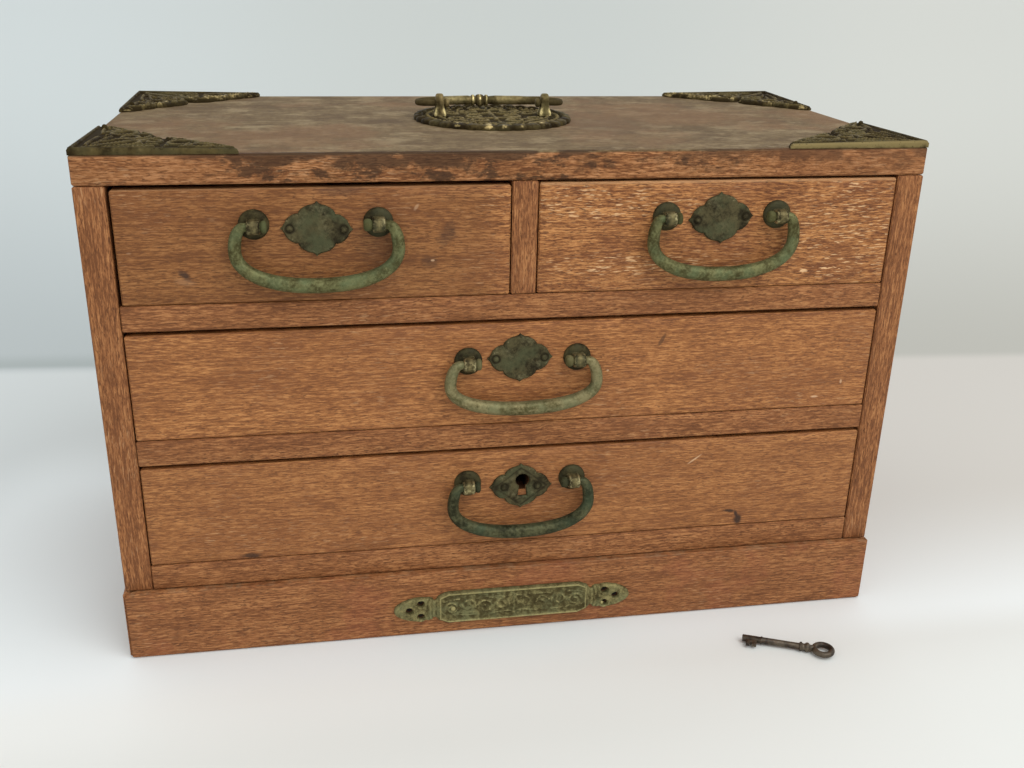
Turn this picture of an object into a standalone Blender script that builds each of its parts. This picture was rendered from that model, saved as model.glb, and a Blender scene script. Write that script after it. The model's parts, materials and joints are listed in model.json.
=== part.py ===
# A small hardwood chest of four drawers for jewelry, with cast brass pulls and corner plates.
# Lengths are in metres. X runs across, Y runs from the front to the back, and Z runs up.
# The origin is on the underside of the base, at the middle of the carcass.
import math

import bmesh
import bpy
from mathutils import Matrix, Vector

# Carcass
chest_width = 0.330
chest_depth = 0.170
chest_height = 0.211
side_thickness = 0.011
top_thickness = 0.011
back_thickness = 0.005
divider_thickness = 0.010
bottom_thickness = 0.0115
lower_shelf_thickness = 0.0108
upper_shelf_thickness = 0.0102
seat_gap = 0.0003
board_easing = 0.0005
top_easing = 0.0012

# Plinth
plinth_height = 0.031
plinth_thickness = 0.011
plinth_front_proud = 0.003
plinth_side_proud = 0.001
base_thickness = 0.004

# Drawer boards
front_thickness = 0.009
wall_thickness = 0.0055
tail_thickness = 0.005
floor_thickness = 0.003
floor_lift = 0.001
wall_drop = 0.004
drawer_side_clearance = 0.0006
drawer_top_clearance = 0.0009
drawer_tail_clearance = 0.001

# Heights of the pulls over the middles of their openings, and of the plates under the pulls
small_pull_rise = 0.0078
middle_pull_rise = 0.0058
bottom_pull_rise = 0.0071
left_plate_drop = 0.0021
right_plate_drop = 0.0011
middle_plate_drop = -0.0006
bottom_plate_drop = 0.0028

# Posts of the drawer pulls
boss_radius = 0.0057
boss_rise = 0.0024
boss_edge = 0.0009
knuckle_width = 0.0048
knuckle_radius = 0.0029
pivot_reach = 0.0045
running_gap = 0.0003

# Drawer bails; the overhang is how far a bail's side stands outside the middle of its post
bail_width = 0.0655
bail_overhang = 0.00975
bail_drop = 0.0232
bail_shoulder = 0.0088
bail_straight = 0.0010
bail_end_radius = 0.0017
bail_side_radius = 0.0022
bail_grip_radius = 0.00275
bail_head_radius = 0.0022
bail_head_length = 0.0018

# How the pulls differ, each cast, bent and nailed on by hand. A pinch is how much narrower a bail or
# its posts are, a lift how much shallower a bail hangs, and a shift how far to the right it sits.
bail_pinch = 0.0020
lower_post_pinch = 0.0010
middle_bail_lift = 0.0030
bottom_bail_lift = 0.0006
pull_shift = 0.0005
middle_plate_shift = -0.0008
bottom_plate_shift = 0.0008
keyhole_shift = 0.0007
left_plate_tilt = math.radians(-2.0)
right_plate_tilt = math.radians(3.5)

# Lobed plates of the drawers
plate_width = 0.027
plate_height = 0.021
plate_thickness = 0.0013
plate_nail_spacing = 0.020
keyed_nail_spacing = 0.0142
nail_radius = 0.0016
nail_rise = 0.0009

# Keyhole, lock and bolt
keyhole_rise = 0.0026
keyhole_radius = 0.0030
keyhole_neck = 0.0028
keyhole_foot = 0.0040
keyhole_drop = 0.0072
board_keyhole_drop = 0.0045
lock_width = 0.034
lock_depth = 0.008
lock_wall = 0.0022
lock_under_keyhole = 0.014
lock_top_clearance = 0.0006
bolt_width = 0.010
bolt_thickness = 0.003
bolt_over_keyhole = 0.0033
bolt_travel = 0.0055
mortise_clearance = 0.0008

# Corner plates of the top
corner_leg = 0.059
corner_rim = 0.0022
corner_rim_height = 0.0030
corner_field_height = 0.0020
corner_nail_radius = 0.0011
corner_nail_rise = 0.0012
corner_nail_inset = 0.0045
corner_nail_end_inset = 0.009

# Medallion, ears and carrying handle
medallion_radius = 0.0355
medallion_scallop = 0.0011
medallion_rim = 0.0040
medallion_rim_height = 0.0030
medallion_field_height = 0.0020
ear_top_width = 0.0037
ear_top_depth = 0.0056
ear_foot_width = 0.0064
ear_foot_depth = 0.0078
ear_height = 0.0087
ear_pivot_height = 0.0046
handle_width = 0.068
handle_overhang = 0.0102
handle_reach = 0.0252
handle_shoulder = 0.0090
handle_straight = 0.0011
handle_end_radius = 0.0013
handle_side_radius = 0.0014
handle_grip_radius = 0.0021
handle_head_radius = 0.0020
handle_head_length = 0.0020
collar_length = 0.0082
collar_radius = 0.0024

# Cartouche of the plinth
cartouche_length = 0.1055
cartouche_body_length = 0.0690
cartouche_body_height = 0.0155
cartouche_neck_height = 0.0112
cartouche_tab_height = 0.0128
cartouche_thickness = 0.0016
cartouche_panel_rise = 0.0009
cartouche_panel_margin = 0.0017
cartouche_middle_height = 0.0136
cartouche_shift = -0.0017
cartouche_hole_radius = 0.0015
cartouche_hole_inset = 0.0066
cartouche_hole_pair_inset = 0.0116
cartouche_hole_spread = 0.0032

# Key, lying in front of the chest
key_length = 0.0395
key_shank_radius = 0.0015
key_collar_radius = 0.0021
key_collar_length = 0.0048
key_bow_radius = 0.0050
key_bow_thickness = 0.0026
key_bit_length = 0.0046
key_bit_width = 0.0046
key_bit_thickness = 0.0016
key_across = 0.1150
key_ahead = 0.0362
key_turn = math.radians(-23.4)

# Faceting
overrun = 0.001
smooth_angle = math.radians(40)
round_steps = 16
bore_steps = 14
bar_sides = 10
bend_stations = 6
sweep_stations = 8

# Levels and planes that follow from the sizes above
front_plane = -chest_depth / 2
back_plane = chest_depth / 2
inner_half = chest_width / 2 - side_thickness
bottom_floor = plinth_height + bottom_thickness
top_ceiling = chest_height - top_thickness
drawer_rows = 3
opening_height = (top_ceiling - bottom_floor - lower_shelf_thickness - upper_shelf_thickness) / drawer_rows
bottom_ceiling = bottom_floor + opening_height
middle_floor = bottom_ceiling + lower_shelf_thickness
middle_ceiling = middle_floor + opening_height
top_floor = middle_ceiling + upper_shelf_thickness
shelf_end = back_plane - back_thickness - seat_gap
drawer_length = chest_depth - back_thickness - drawer_tail_clearance
post_spacing = bail_width - 2 * bail_overhang
ear_spacing = handle_width - 2 * handle_overhang

# Finishes: colour, roughness, metallic
finishes = {
    "weathered_wood": ((0.27, 0.16, 0.09), 0.72, 0.0),
    "case_wood": ((0.36, 0.15, 0.065), 0.6, 0.0),
    "drawer_wood": ((0.42, 0.17, 0.07), 0.55, 0.0),
    "inner_wood": ((0.50, 0.33, 0.17), 0.7, 0.0),
    "dark_brass": ((0.13, 0.11, 0.055), 0.45, 0.9),
    "green_brass": ((0.17, 0.19, 0.10), 0.5, 0.8),
    "olive_brass": ((0.22, 0.20, 0.09), 0.45, 0.85),
    "lock_brass": ((0.42, 0.30, 0.12), 0.4, 0.95),
    "dark_steel": ((0.09, 0.075, 0.07), 0.4, 0.9),
}


def clear_scene():
    for old in list(bpy.data.objects):
        bpy.data.objects.remove(old, do_unlink=True)


def add_material(name, finish):
    colour, roughness, metallic = finishes[finish]
    material = bpy.data.materials.new(name + "_" + finish)
    material.use_nodes = True
    shader = material.node_tree.nodes["Principled BSDF"]
    shader.inputs["Base Color"].default_value = (*colour, 1.0)
    shader.inputs["Roughness"].default_value = roughness
    shader.inputs["Metallic"].default_value = metallic
    material.diffuse_color = (*colour, 1.0)
    return material


def add_piece(name, shape, finish, parent=None, place=(0, 0, 0), turn=(0, 0, 0)):
    """Makes one named object of a closed shape, with its origin at the place given."""
    bmesh.ops.recalc_face_normals(shape, faces=shape.faces)
    mesh = bpy.data.meshes.new(name)
    shape.to_mesh(mesh)
    shape.free()
    mesh.shade_smooth()
    mesh.set_sharp_from_angle(angle=smooth_angle)
    mesh.materials.append(add_material(name, finish))
    piece = bpy.data.objects.new(name, mesh)
    piece.parent = parent
    piece.location = place
    piece.rotation_euler = turn
    bpy.context.scene.collection.objects.link(piece)
    return piece


def add_carrier(name, place):
    """An empty that carries the pieces of one moving assembly."""
    carrier = bpy.data.objects.new(name, None)
    carrier.location = place
    bpy.context.scene.collection.objects.link(carrier)
    return carrier


def combined(shape, tool, operation):
    """The closed shape left when the tool is joined to the first shape, or cut out of it."""
    workpieces = []
    for part in (shape, tool):
        bmesh.ops.recalc_face_normals(part, faces=part.faces)
        mesh = bpy.data.meshes.new("workpiece")
        part.to_mesh(mesh)
        part.free()
        workpieces.append(bpy.data.objects.new("workpiece", mesh))
        bpy.context.scene.collection.objects.link(workpieces[-1])
    body, other = workpieces
    step = body.modifiers.new("step", "BOOLEAN")
    step.operation = operation
    step.object = other
    evaluated = body.evaluated_get(bpy.context.evaluated_depsgraph_get())
    result = bmesh.new()
    result.from_mesh(evaluated.to_mesh())
    for workpiece in workpieces:
        bpy.data.objects.remove(workpiece, do_unlink=True)
    return result


def block(low, high, easing=0.0):
    """A box between two corners, with its edges eased by a small chamfer."""
    low, high = Vector(low), Vector(high)
    shape = bmesh.new()
    bmesh.ops.create_cube(shape, size=1.0)
    bmesh.ops.scale(shape, vec=high - low, verts=shape.verts)
    bmesh.ops.translate(shape, vec=(low + high) / 2, verts=shape.verts)
    if easing:
        bmesh.ops.bevel(shape, geom=shape.edges[:], offset=easing, segments=1, affect="EDGES")
    return shape


def slab(outline, low, high):
    """A flat outline in X and Y, raised from the low to the high level."""
    shape = bmesh.new()
    face = shape.faces.new([shape.verts.new((x, y, low)) for x, y in outline])
    raised = bmesh.ops.extrude_face_region(shape, geom=[face])["geom"]
    corners = [item for item in raised if isinstance(item, bmesh.types.BMVert)]
    bmesh.ops.translate(shape, vec=(0, 0, high - low), verts=corners)
    return shape


def bridged(shape, first, second):
    """Joins two rings of corners by faces; a ring may be a single point."""
    count = max(len(first), len(second))
    for i in range(count):
        j = (i + 1) % count
        corners = [first[i % len(first)], first[j % len(first)]]
        corners += [second[j % len(second)], second[i % len(second)]]
        shape.faces.new(list(dict.fromkeys(corners)))


def turned(profile, steps, closed=False):
    """A body turned about Z from pairs of radius and height."""
    shape = bmesh.new()
    rings = []
    for radius, height in profile:
        count = steps if radius else 1
        angles = [math.tau * i / count for i in range(count)]
        rings.append([shape.verts.new((radius * math.cos(a), radius * math.sin(a), height)) for a in angles])
    pairs = list(zip(rings, rings[1:]))
    if closed:
        pairs.append((rings[-1], rings[0]))
    for first, second in pairs:
        bridged(shape, first, second)
    return shape


def pin(radius, length, steps=bore_steps):
    """A round pin along X, centred on the origin."""
    profile = [(0, -length / 2), (radius, -length / 2), (radius, length / 2), (0, length / 2)]
    shape = turned(profile, steps)
    bmesh.ops.rotate(shape, matrix=Matrix.Rotation(math.radians(90), 3, "Y"), verts=shape.verts)
    return shape


def moved(shape, place):
    bmesh.ops.translate(shape, vec=Vector(place), verts=shape.verts)
    return shape


def round_bar(stations, sides):
    """A bar of changing radius along a path in the XY plane, with flat ends."""
    shape = bmesh.new()
    rings = []
    for i, (x, y, radius) in enumerate(stations):
        before, after = stations[max(i - 1, 0)], stations[min(i + 1, len(stations) - 1)]
        along = Vector((after[0] - before[0], after[1] - before[1], 0)).normalized()
        across = Vector((-along.y, along.x, 0))
        ring = []
        for k in range(sides):
            angle = math.tau * (k + 0.5) / sides
            offset = across * (radius * math.cos(angle)) + Vector((0, 0, radius * math.sin(angle)))
            ring.append(shape.verts.new(Vector((x, y, 0)) + offset))
        rings.append(ring)
    for first, second in zip(rings, rings[1:]):
        bridged(shape, first, second)
    shape.faces.new(rings[0])
    shape.faces.new(rings[-1])
    return shape


def bail(spacing, lug_width, width, drop, shoulder, straight, radii, head, collar=None):
    """A bail in the XY plane that hangs from the origin, with a head inside each of its two lugs.

    Its ends leave the lugs outwards, turn down round a shoulder, and run into a flattened arc.
    """
    end_radius, side_radius, grip_radius = radii
    head_radius, head_length = head
    lug_inside = spacing / 2 - lug_width / 2 - running_gap
    bend_start = spacing / 2 + lug_width / 2 + straight
    side = width / 2 - side_radius
    flatness = 2.25
    rim_share = 0.75
    head_edge = head_length * (1 - rim_share)
    stations = [(lug_inside - head_length, 0, head_radius * rim_share)]
    stations.append((lug_inside - head_length + head_edge, 0, head_radius))
    stations.append((lug_inside - head_edge, 0, head_radius))
    stations.append((lug_inside, 0, end_radius))
    for i in range(bend_stations):
        angle = math.radians(90) * (1 - i / bend_stations)
        x = bend_start + (side - bend_start) * math.cos(angle)
        y = shoulder * (math.sin(angle) - 1)
        stations.append((x, y, end_radius + (side_radius - end_radius) * math.cos(angle)))
    collar_half = collar[0] / 2 if collar else 0
    for i in range(sweep_stations + 1):
        angle = math.radians(90) * i / sweep_stations
        x = side * math.cos(angle) ** (2 / flatness)
        y = -shoulder - (drop - shoulder) * math.sin(angle) ** (2 / flatness)
        if x > collar_half:
            stations.append((x, y, side_radius + (grip_radius - side_radius) * math.sin(angle) ** 2))
    if collar:
        stations += collar_beads(collar_half, drop, grip_radius, collar[1])
    mirrored = [(-x, y, radius) for x, y, radius in reversed(stations) if x > 0]
    middle = [] if collar else [(0, -drop, grip_radius)]
    return round_bar(stations + middle + mirrored, bar_sides)


def collar_beads(half, drop, low_radius, high_radius):
    """The right half of a ribbed collar: a bead at its end, a groove, and half of the middle bead."""
    shares = [(1.0, 0), (0.92, 1), (0.64, 1), (0.56, 0), (0.36, 0), (0.28, 1)]
    return [(half * share, -drop, high_radius if raised else low_radius) for share, raised in shares]


def board(name, low, high, finish, parent=None, easing=board_easing):
    """A plank between two corners, with its origin at its middle."""
    middle = (Vector(low) + Vector(high)) / 2
    return add_piece(name, block(Vector(low) - middle, Vector(high) - middle, easing), finish, parent, middle)


def carcass():
    half, low_end = chest_width / 2, plinth_height + seat_gap
    side_top = top_ceiling - seat_gap
    for name, side in (("side_left", -1), ("side_right", 1)):
        faces = sorted((side * inner_half, side * half))
        board(name, (faces[0], front_plane, low_end), (faces[1], back_plane, side_top), "case_wood")
    board("top_board", (-half, front_plane, top_ceiling), (half, back_plane, chest_height),
          "weathered_wood", easing=top_easing)
    reach = inner_half - seat_gap
    board("back_panel", (-reach, back_plane - back_thickness, 0), (reach, back_plane, side_top), "inner_wood")
    board("bottom_board", (-reach, front_plane, low_end), (reach, shelf_end, bottom_floor), "case_wood")
    board("upper_shelf", (-reach, front_plane, middle_ceiling), (reach, shelf_end, top_floor), "case_wood")
    lower_shelf(reach)
    edge = divider_thickness / 2
    board("divider", (-edge, front_plane, top_floor + seat_gap), (edge, shelf_end, side_top), "case_wood")


def lower_shelf(reach):
    """The shelf over the bottom drawer, with the mortise that the lock's bolt rises into."""
    shape = block((-reach, front_plane, bottom_ceiling), (reach, shelf_end, middle_floor), board_easing)
    across = bolt_width / 2 + mortise_clearance
    back = bolt_thickness / 2 + mortise_clearance
    middle = front_plane + bolt_line()
    depth = bottom_shell["lock_top"] + bolt_travel + mortise_clearance
    mortise = block((-across, middle - back, bottom_ceiling - overrun), (across, middle + back, depth))
    mortise = moved(mortise, (keyhole_across(bottom_shell), 0, 0))
    shape = combined(shape, mortise, "DIFFERENCE")
    add_piece("lower_shelf", shape, "case_wood")


def plinth():
    """Three mitred boards round a base panel; the back panel closes the fourth side."""
    half = chest_width / 2 + plinth_side_proud
    face = front_plane - plinth_front_proud
    inner, inner_face = half - plinth_thickness, face + plinth_thickness
    mitre_gap = seat_gap * math.sqrt(2)
    front = [(-half, face), (half, face), (inner, inner_face), (-inner, inner_face)]
    side = [(half, face + mitre_gap), (half, back_plane)]
    side += [(inner, back_plane), (inner, inner_face + mitre_gap)]
    outlines = {"plinth_front": front, "plinth_right": side, "plinth_left": [(-x, y) for x, y in side]}
    for name, outline in outlines.items():
        shape = slab(outline, 0, plinth_height)
        bmesh.ops.bevel(shape, geom=shape.edges[:], offset=board_easing, segments=1, affect="EDGES")
        add_piece(name, shape, "case_wood")
    reach = inner - seat_gap
    base_back = back_plane - back_thickness - seat_gap
    board("base_panel", (-reach, inner_face + seat_gap, 0), (reach, base_back, base_thickness), "inner_wood")


def cartouche():
    """The long cast plate on the plinth: a raised panel between two pierced tabs."""
    add_piece("plinth_cartouche", cartouche_shape(), "olive_brass",
              place=(cartouche_shift, front_plane - plinth_front_proud - seat_gap, cartouche_middle_height),
              turn=(math.radians(90), 0, 0))


def cartouche_shape():
    body, tip = cartouche_body_length / 2, cartouche_length / 2
    high, neck, tab = cartouche_body_height / 2, cartouche_neck_height / 2, cartouche_tab_height / 2
    tab_start_share, tab_shares = 0.22, [(0.45, 1.0), (0.70, 0.84), (0.88, 0.55), (1.0, 0.16)]
    corner = [(body - (high - neck), high), (body, neck), (body + (tip - body) * tab_start_share, neck)]
    corner += [(body + (tip - body) * along, tab * up) for along, up in tab_shares]
    right = corner + [(x, -y) for x, y in reversed(corner)]
    outline = right + [(-x, -y) for x, y in right]
    shape = slab(outline, 0, cartouche_thickness)
    long, tall = body - (high - neck) - cartouche_panel_margin, high - cartouche_panel_margin
    panel_top = cartouche_thickness + cartouche_panel_rise
    panel = block((-long, -tall, cartouche_thickness / 2), (long, tall, panel_top), cartouche_panel_rise / 2)
    shape = combined(shape, panel, "UNION")
    holes = [(tip - cartouche_hole_inset, 0)]
    holes += [(tip - cartouche_hole_pair_inset, side * cartouche_hole_spread) for side in (-1, 1)]
    ends = [(0, -overrun), (cartouche_hole_radius, -overrun)]
    ends += [(cartouche_hole_radius, cartouche_thickness + overrun), (0, cartouche_thickness + overrun)]
    for end in (-1, 1):
        for x, y in holes:
            shape = combined(shape, moved(turned(ends, bore_steps), (end * x, y, 0)), "DIFFERENCE")
    return shape


def corner_plates():
    """Four cast triangular plates, each with a raised rim along the chest's edges."""
    for end, back_word, back in (("front", "front", -1), ("back", "back", 1)):
        for side_word, side in (("left", -1), ("right", 1)):
            shape = corner_shape()
            bmesh.ops.scale(shape, vec=(-side, -back, 1), verts=shape.verts)
            place = (side * chest_width / 2, back * chest_depth / 2, chest_height + seat_gap)
            add_piece("corner_plate_" + back_word + "_" + side_word, shape, "dark_brass", place=place)


def corner_shape():
    """One plate in the corner of X and Y, with two lobes that meet in a notch on the diagonal."""
    leg, rim, half_rim = corner_leg, corner_rim, corner_rim / 2
    lobe_shares = [(0.875, 0.16), (0.755, 0.245), (0.66, 0.37), (0.565, 0.44), (0.475, 0.44), (0.37, 0.37)]
    lobe = [(leg * along, leg * across) for along, across in lobe_shares]
    lobe += [(y, x) for x, y in reversed(lobe[:-1])]
    field = [(half_rim, half_rim), (leg - half_rim, half_rim), *lobe, (half_rim, leg - half_rim)]
    edge = [(0, 0), (leg, 0), (leg, rim), (rim, rim), (rim, leg), (0, leg)]
    shape = combined(slab(edge, 0, corner_rim_height), slab(field, 0, corner_field_height), "UNION")
    stem = corner_nail_radius
    head = [(0, corner_field_height / 2), (stem, corner_field_height / 2)]
    head += [(stem, corner_field_height + corner_nail_rise / 2), (0, corner_field_height + corner_nail_rise)]
    nail = moved(turned(head, bar_sides), (corner_nail_inset, leg - corner_nail_end_inset, 0))
    return combined(shape, nail, "UNION")


def medallion():
    """A round cast plate with a scalloped rim, set in the middle of the top."""
    lobes, points_per_lobe = 32, 2
    count = lobes * points_per_lobe
    outline = []
    for i in range(count):
        angle = math.tau * i / count
        radius = medallion_radius - medallion_scallop * (1 - abs(math.sin(lobes * angle / 2)))
        outline.append((radius * math.cos(angle), radius * math.sin(angle)))
    shape = slab(outline, 0, medallion_rim_height)
    field = medallion_radius - medallion_rim
    well = [(0, medallion_field_height), (field, medallion_field_height)]
    well += [(field, medallion_rim_height + overrun), (0, medallion_rim_height + overrun)]
    shape = combined(shape, turned(well, count), "DIFFERENCE")
    add_piece("top_medallion", shape, "dark_brass", place=(0, 0, chest_height + seat_gap))


def ear_shape():
    """A tapering lug with a spread foot, bored across for the handle's end."""
    height = ear_height
    spread_shares = [(0.0, 1.0), (0.12, 0.78), (0.34, 0.22), (0.62, 0.0)]
    sections = [(height * up, ear_top_width + (ear_foot_width - ear_top_width) * spread,
                 ear_top_depth + (ear_foot_depth - ear_top_depth) * spread) for up, spread in spread_shares]
    crown_shares = [(0.84, 0.97, 0.86), (0.95, 0.86, 0.60), (1.0, 0.66, 0.34)]
    sections += [(height * up, ear_top_width * wide, ear_top_depth * deep) for up, wide, deep in crown_shares]
    shape = bmesh.new()
    rings = []
    corner_share = 0.62
    for level, wide, deep in sections:
        x, y = wide / 2, deep / 2
        near_x, near_y = x * corner_share, y * corner_share
        points = [(x, -near_y), (x, near_y), (near_x, y), (-near_x, y)]
        points += [(-x, near_y), (-x, -near_y), (-near_x, -y), (near_x, -y)]
        rings.append([shape.verts.new((px, py, level)) for px, py in points])
    for first, second in zip(rings, rings[1:]):
        bridged(shape, first, second)
    shape.faces.new(rings[0])
    shape.faces.new(rings[-1])
    bore = pin(handle_end_radius + running_gap, ear_foot_width + 2 * overrun)
    return combined(shape, moved(bore, (0, 0, ear_pivot_height)), "DIFFERENCE")


def carrying_handle():
    """Two ears on the medallion, and the bail that lies back between them."""
    foot = chest_height + medallion_field_height + 2 * seat_gap
    for name, side in (("handle_ear_left", -1), ("handle_ear_right", 1)):
        add_piece(name, ear_shape(), "olive_brass", place=(side * ear_spacing / 2, 0, foot))
    shape = bail(ear_spacing, ear_top_width, handle_width, handle_reach, handle_shoulder, handle_straight,
                 (handle_end_radius, handle_side_radius, handle_grip_radius),
                 (handle_head_radius, handle_head_length), collar=(collar_length, collar_radius))
    rest_height = seat_gap + collar_radius
    slope = math.asin((ear_pivot_height - rest_height) / handle_reach)
    pivot = add_carrier("handle_pivot", (0, 0, foot + ear_pivot_height))
    pivot.rotation_euler = (-slope, 0, 0)
    add_piece("carrying_handle", shape, "olive_brass", pivot, turn=(0, 0, math.radians(180)))


def shell_sizes(left, right, floor, ceiling, pull_rise, plate_drop, pull_sizes):
    """The sizes of one drawer; heights are counted from the drawer's own underside."""
    underside = floor + seat_gap
    height = ceiling - drawer_top_clearance - underside
    return {
        "spacing": post_spacing, "width": bail_width, "drop": bail_drop,
        "shift": 0, "plate_shift": 0, "tilt": 0,
        "place": ((left + right) / 2, front_plane, underside),
        "half": (right - left) / 2 - drawer_side_clearance,
        "height": height,
        "lock_top": underside + height - lock_top_clearance,
        "pull": (floor + ceiling) / 2 + pull_rise - underside,
        "plate": (floor + ceiling) / 2 + pull_rise - plate_drop - underside,
        **pull_sizes,
    }


upright_half = divider_thickness / 2
small_left_shell = shell_sizes(-inner_half, -upright_half, top_floor, top_ceiling,
                               small_pull_rise, left_plate_drop, {"tilt": left_plate_tilt})
small_right_shell = shell_sizes(upright_half, inner_half, top_floor, top_ceiling,
                                small_pull_rise, right_plate_drop,
                                {"tilt": right_plate_tilt, "width": bail_width - bail_pinch, "shift": pull_shift})
middle_shell = shell_sizes(-inner_half, inner_half, middle_floor, middle_ceiling,
                           middle_pull_rise, middle_plate_drop,
                           {"spacing": post_spacing - lower_post_pinch, "drop": bail_drop - middle_bail_lift,
                            "shift": pull_shift, "plate_shift": middle_plate_shift})
bottom_shell = shell_sizes(-inner_half, inner_half, bottom_floor, bottom_ceiling,
                           bottom_pull_rise, bottom_plate_drop,
                           {"spacing": post_spacing - lower_post_pinch, "width": bail_width - bail_pinch,
                            "drop": bail_drop - bottom_bail_lift, "shift": pull_shift,
                            "plate_shift": bottom_plate_shift})


def keyhole_across(shell):
    """How far the keyhole stands to the right of its drawer's middle."""
    return shell["plate_shift"] + keyhole_shift


def keyhole(radius, neck, foot, drop, low, high):
    """A round hole with a slot under it that widens downwards, as a cutter along Z."""
    start = math.asin(neck / 2 / radius)
    outline = [(foot / 2, -drop)]
    for i in range(round_steps + 1):
        angle = math.radians(-90) + start + (math.tau - 2 * start) * i / round_steps
        outline.append((radius * math.cos(angle), radius * math.sin(angle)))
    outline.append((-foot / 2, -drop))
    return slab(outline, low, high)


def drawer_boards(name, shell, carrier, keyed):
    half, height, length = shell["half"], shell["height"], drawer_length
    wall_top = height - wall_drop
    front = block((-half, 0, 0), (half, front_thickness, height), board_easing)
    if keyed:
        cutter = keyhole(keyhole_radius, keyhole_neck, keyhole_neck, board_keyhole_drop,
                         -front_thickness - overrun, overrun)
        bmesh.ops.rotate(cutter, matrix=Matrix.Rotation(math.radians(90), 3, "X"), verts=cutter.verts)
        cutter = moved(cutter, (keyhole_across(shell), 0, shell["plate"] + keyhole_rise))
        front = combined(front, cutter, "DIFFERENCE")
    add_piece(name + "_front", front, "drawer_wood", carrier)
    wall_start = front_thickness + seat_gap
    for word, side in (("_wall_left", -1), ("_wall_right", 1)):
        faces = sorted((side * half, side * (half - wall_thickness)))
        board(name + word, (faces[0], wall_start, 0), (faces[1], length, wall_top), "inner_wood", carrier)
    inside = half - wall_thickness - seat_gap
    tail_start = length - tail_thickness
    board(name + "_tail", (-inside, tail_start, 0), (inside, length, wall_top), "inner_wood", carrier)
    board(name + "_floor", (-inside, wall_start, floor_lift),
          (inside, tail_start - seat_gap, floor_lift + floor_thickness), "inner_wood", carrier)


def post_shape():
    """A domed boss with a bored knuckle in front of it; its base lies at Z = 0."""
    dome_shares = [(0.90, 0.50), (0.66, 0.80), (0.34, 0.96), (0, 1.0)]
    profile = [(0, 0), (boss_radius, 0), (boss_radius, boss_edge)]
    profile += [(boss_radius * out, boss_rise * up) for out, up in dome_shares]
    boss = turned(profile, round_steps)
    knuckle = [(-knuckle_radius, boss_edge), (-knuckle_radius, pivot_reach)]
    steps = round_steps // 2
    for i in range(1, steps):
        angle = math.pi * (1 - i / steps)
        knuckle.append((knuckle_radius * math.cos(angle), pivot_reach + knuckle_radius * math.sin(angle)))
    knuckle += [(knuckle_radius, pivot_reach), (knuckle_radius, boss_edge)]
    lug = slab(knuckle, -knuckle_width / 2, knuckle_width / 2)
    stand_up = Matrix(((0, 0, 1), (1, 0, 0), (0, 1, 0)))
    bmesh.ops.transform(lug, matrix=stand_up.to_4x4(), verts=lug.verts)
    shape = combined(boss, lug, "UNION")
    bore = pin(bail_end_radius + running_gap, knuckle_width + 2 * overrun)
    return combined(shape, moved(bore, (0, 0, pivot_reach)), "DIFFERENCE")


def plate_shape(keyed):
    """A lobed diamond plate with a round nail head on each side; its base lies at Z = 0."""
    half_width, half_height = plate_width / 2, plate_height / 2
    quarter_shares = [(0, 1), (0.16, 0.87), (0.36, 0.77), (0.50, 0.60)]
    quarter_shares += [(0.53, 0.53), (0.66, 0.52), (0.84, 0.33)]
    quarter = [(half_width * x, half_height * y) for x, y in quarter_shares]
    lower = [(x, -y) for x, y in reversed(quarter)]
    right = quarter + [(half_width, 0)] + lower
    outline = right + [(-x, -y) for x, y in right[1:-1]]
    shape = slab(outline, 0, plate_thickness)
    spacing = keyed_nail_spacing if keyed else plate_nail_spacing
    top = plate_thickness + nail_rise
    crown_share = 0.8
    head = [(0, plate_thickness / 2), (nail_radius, plate_thickness / 2), (nail_radius, plate_thickness)]
    head += [(nail_radius / 2, plate_thickness + nail_rise * crown_share), (0, top)]
    for side in (-1, 1):
        nail = moved(turned(head, bar_sides), (side * spacing / 2, 0, 0))
        shape = combined(shape, nail, "UNION")
    if keyed:
        hole = keyhole(keyhole_radius, keyhole_neck, keyhole_foot, keyhole_drop, -overrun, top + overrun)
        shape = combined(shape, moved(hole, (keyhole_shift, keyhole_rise, 0)), "DIFFERENCE")
    return shape


def drawer_fittings(name, shell, carrier, keyed):
    upright = (math.radians(90), 0, 0)
    for word, side in (("_post_left", -1), ("_post_right", 1)):
        place = (shell["shift"] + side * shell["spacing"] / 2, -seat_gap, shell["pull"])
        add_piece(name + word, post_shape(), "dark_brass", carrier, place, upright)
    pivot = (shell["shift"], -seat_gap - pivot_reach, shell["pull"])
    shape = bail(shell["spacing"], knuckle_width, shell["width"], shell["drop"], bail_shoulder, bail_straight,
                 (bail_end_radius, bail_side_radius, bail_grip_radius), (bail_head_radius, bail_head_length))
    add_piece(name + "_bail", shape, "green_brass", carrier, pivot, upright)
    place, tilted = (shell["plate_shift"], -seat_gap, shell["plate"]), (upright[0], -shell["tilt"], 0)
    add_piece(name + "_plate", plate_shape(keyed), "dark_brass", carrier, place, tilted)


def bolt_line():
    """How far the bolt's middle lies behind the chest's front."""
    return front_thickness + seat_gap + lock_wall + running_gap + bolt_thickness / 2


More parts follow.
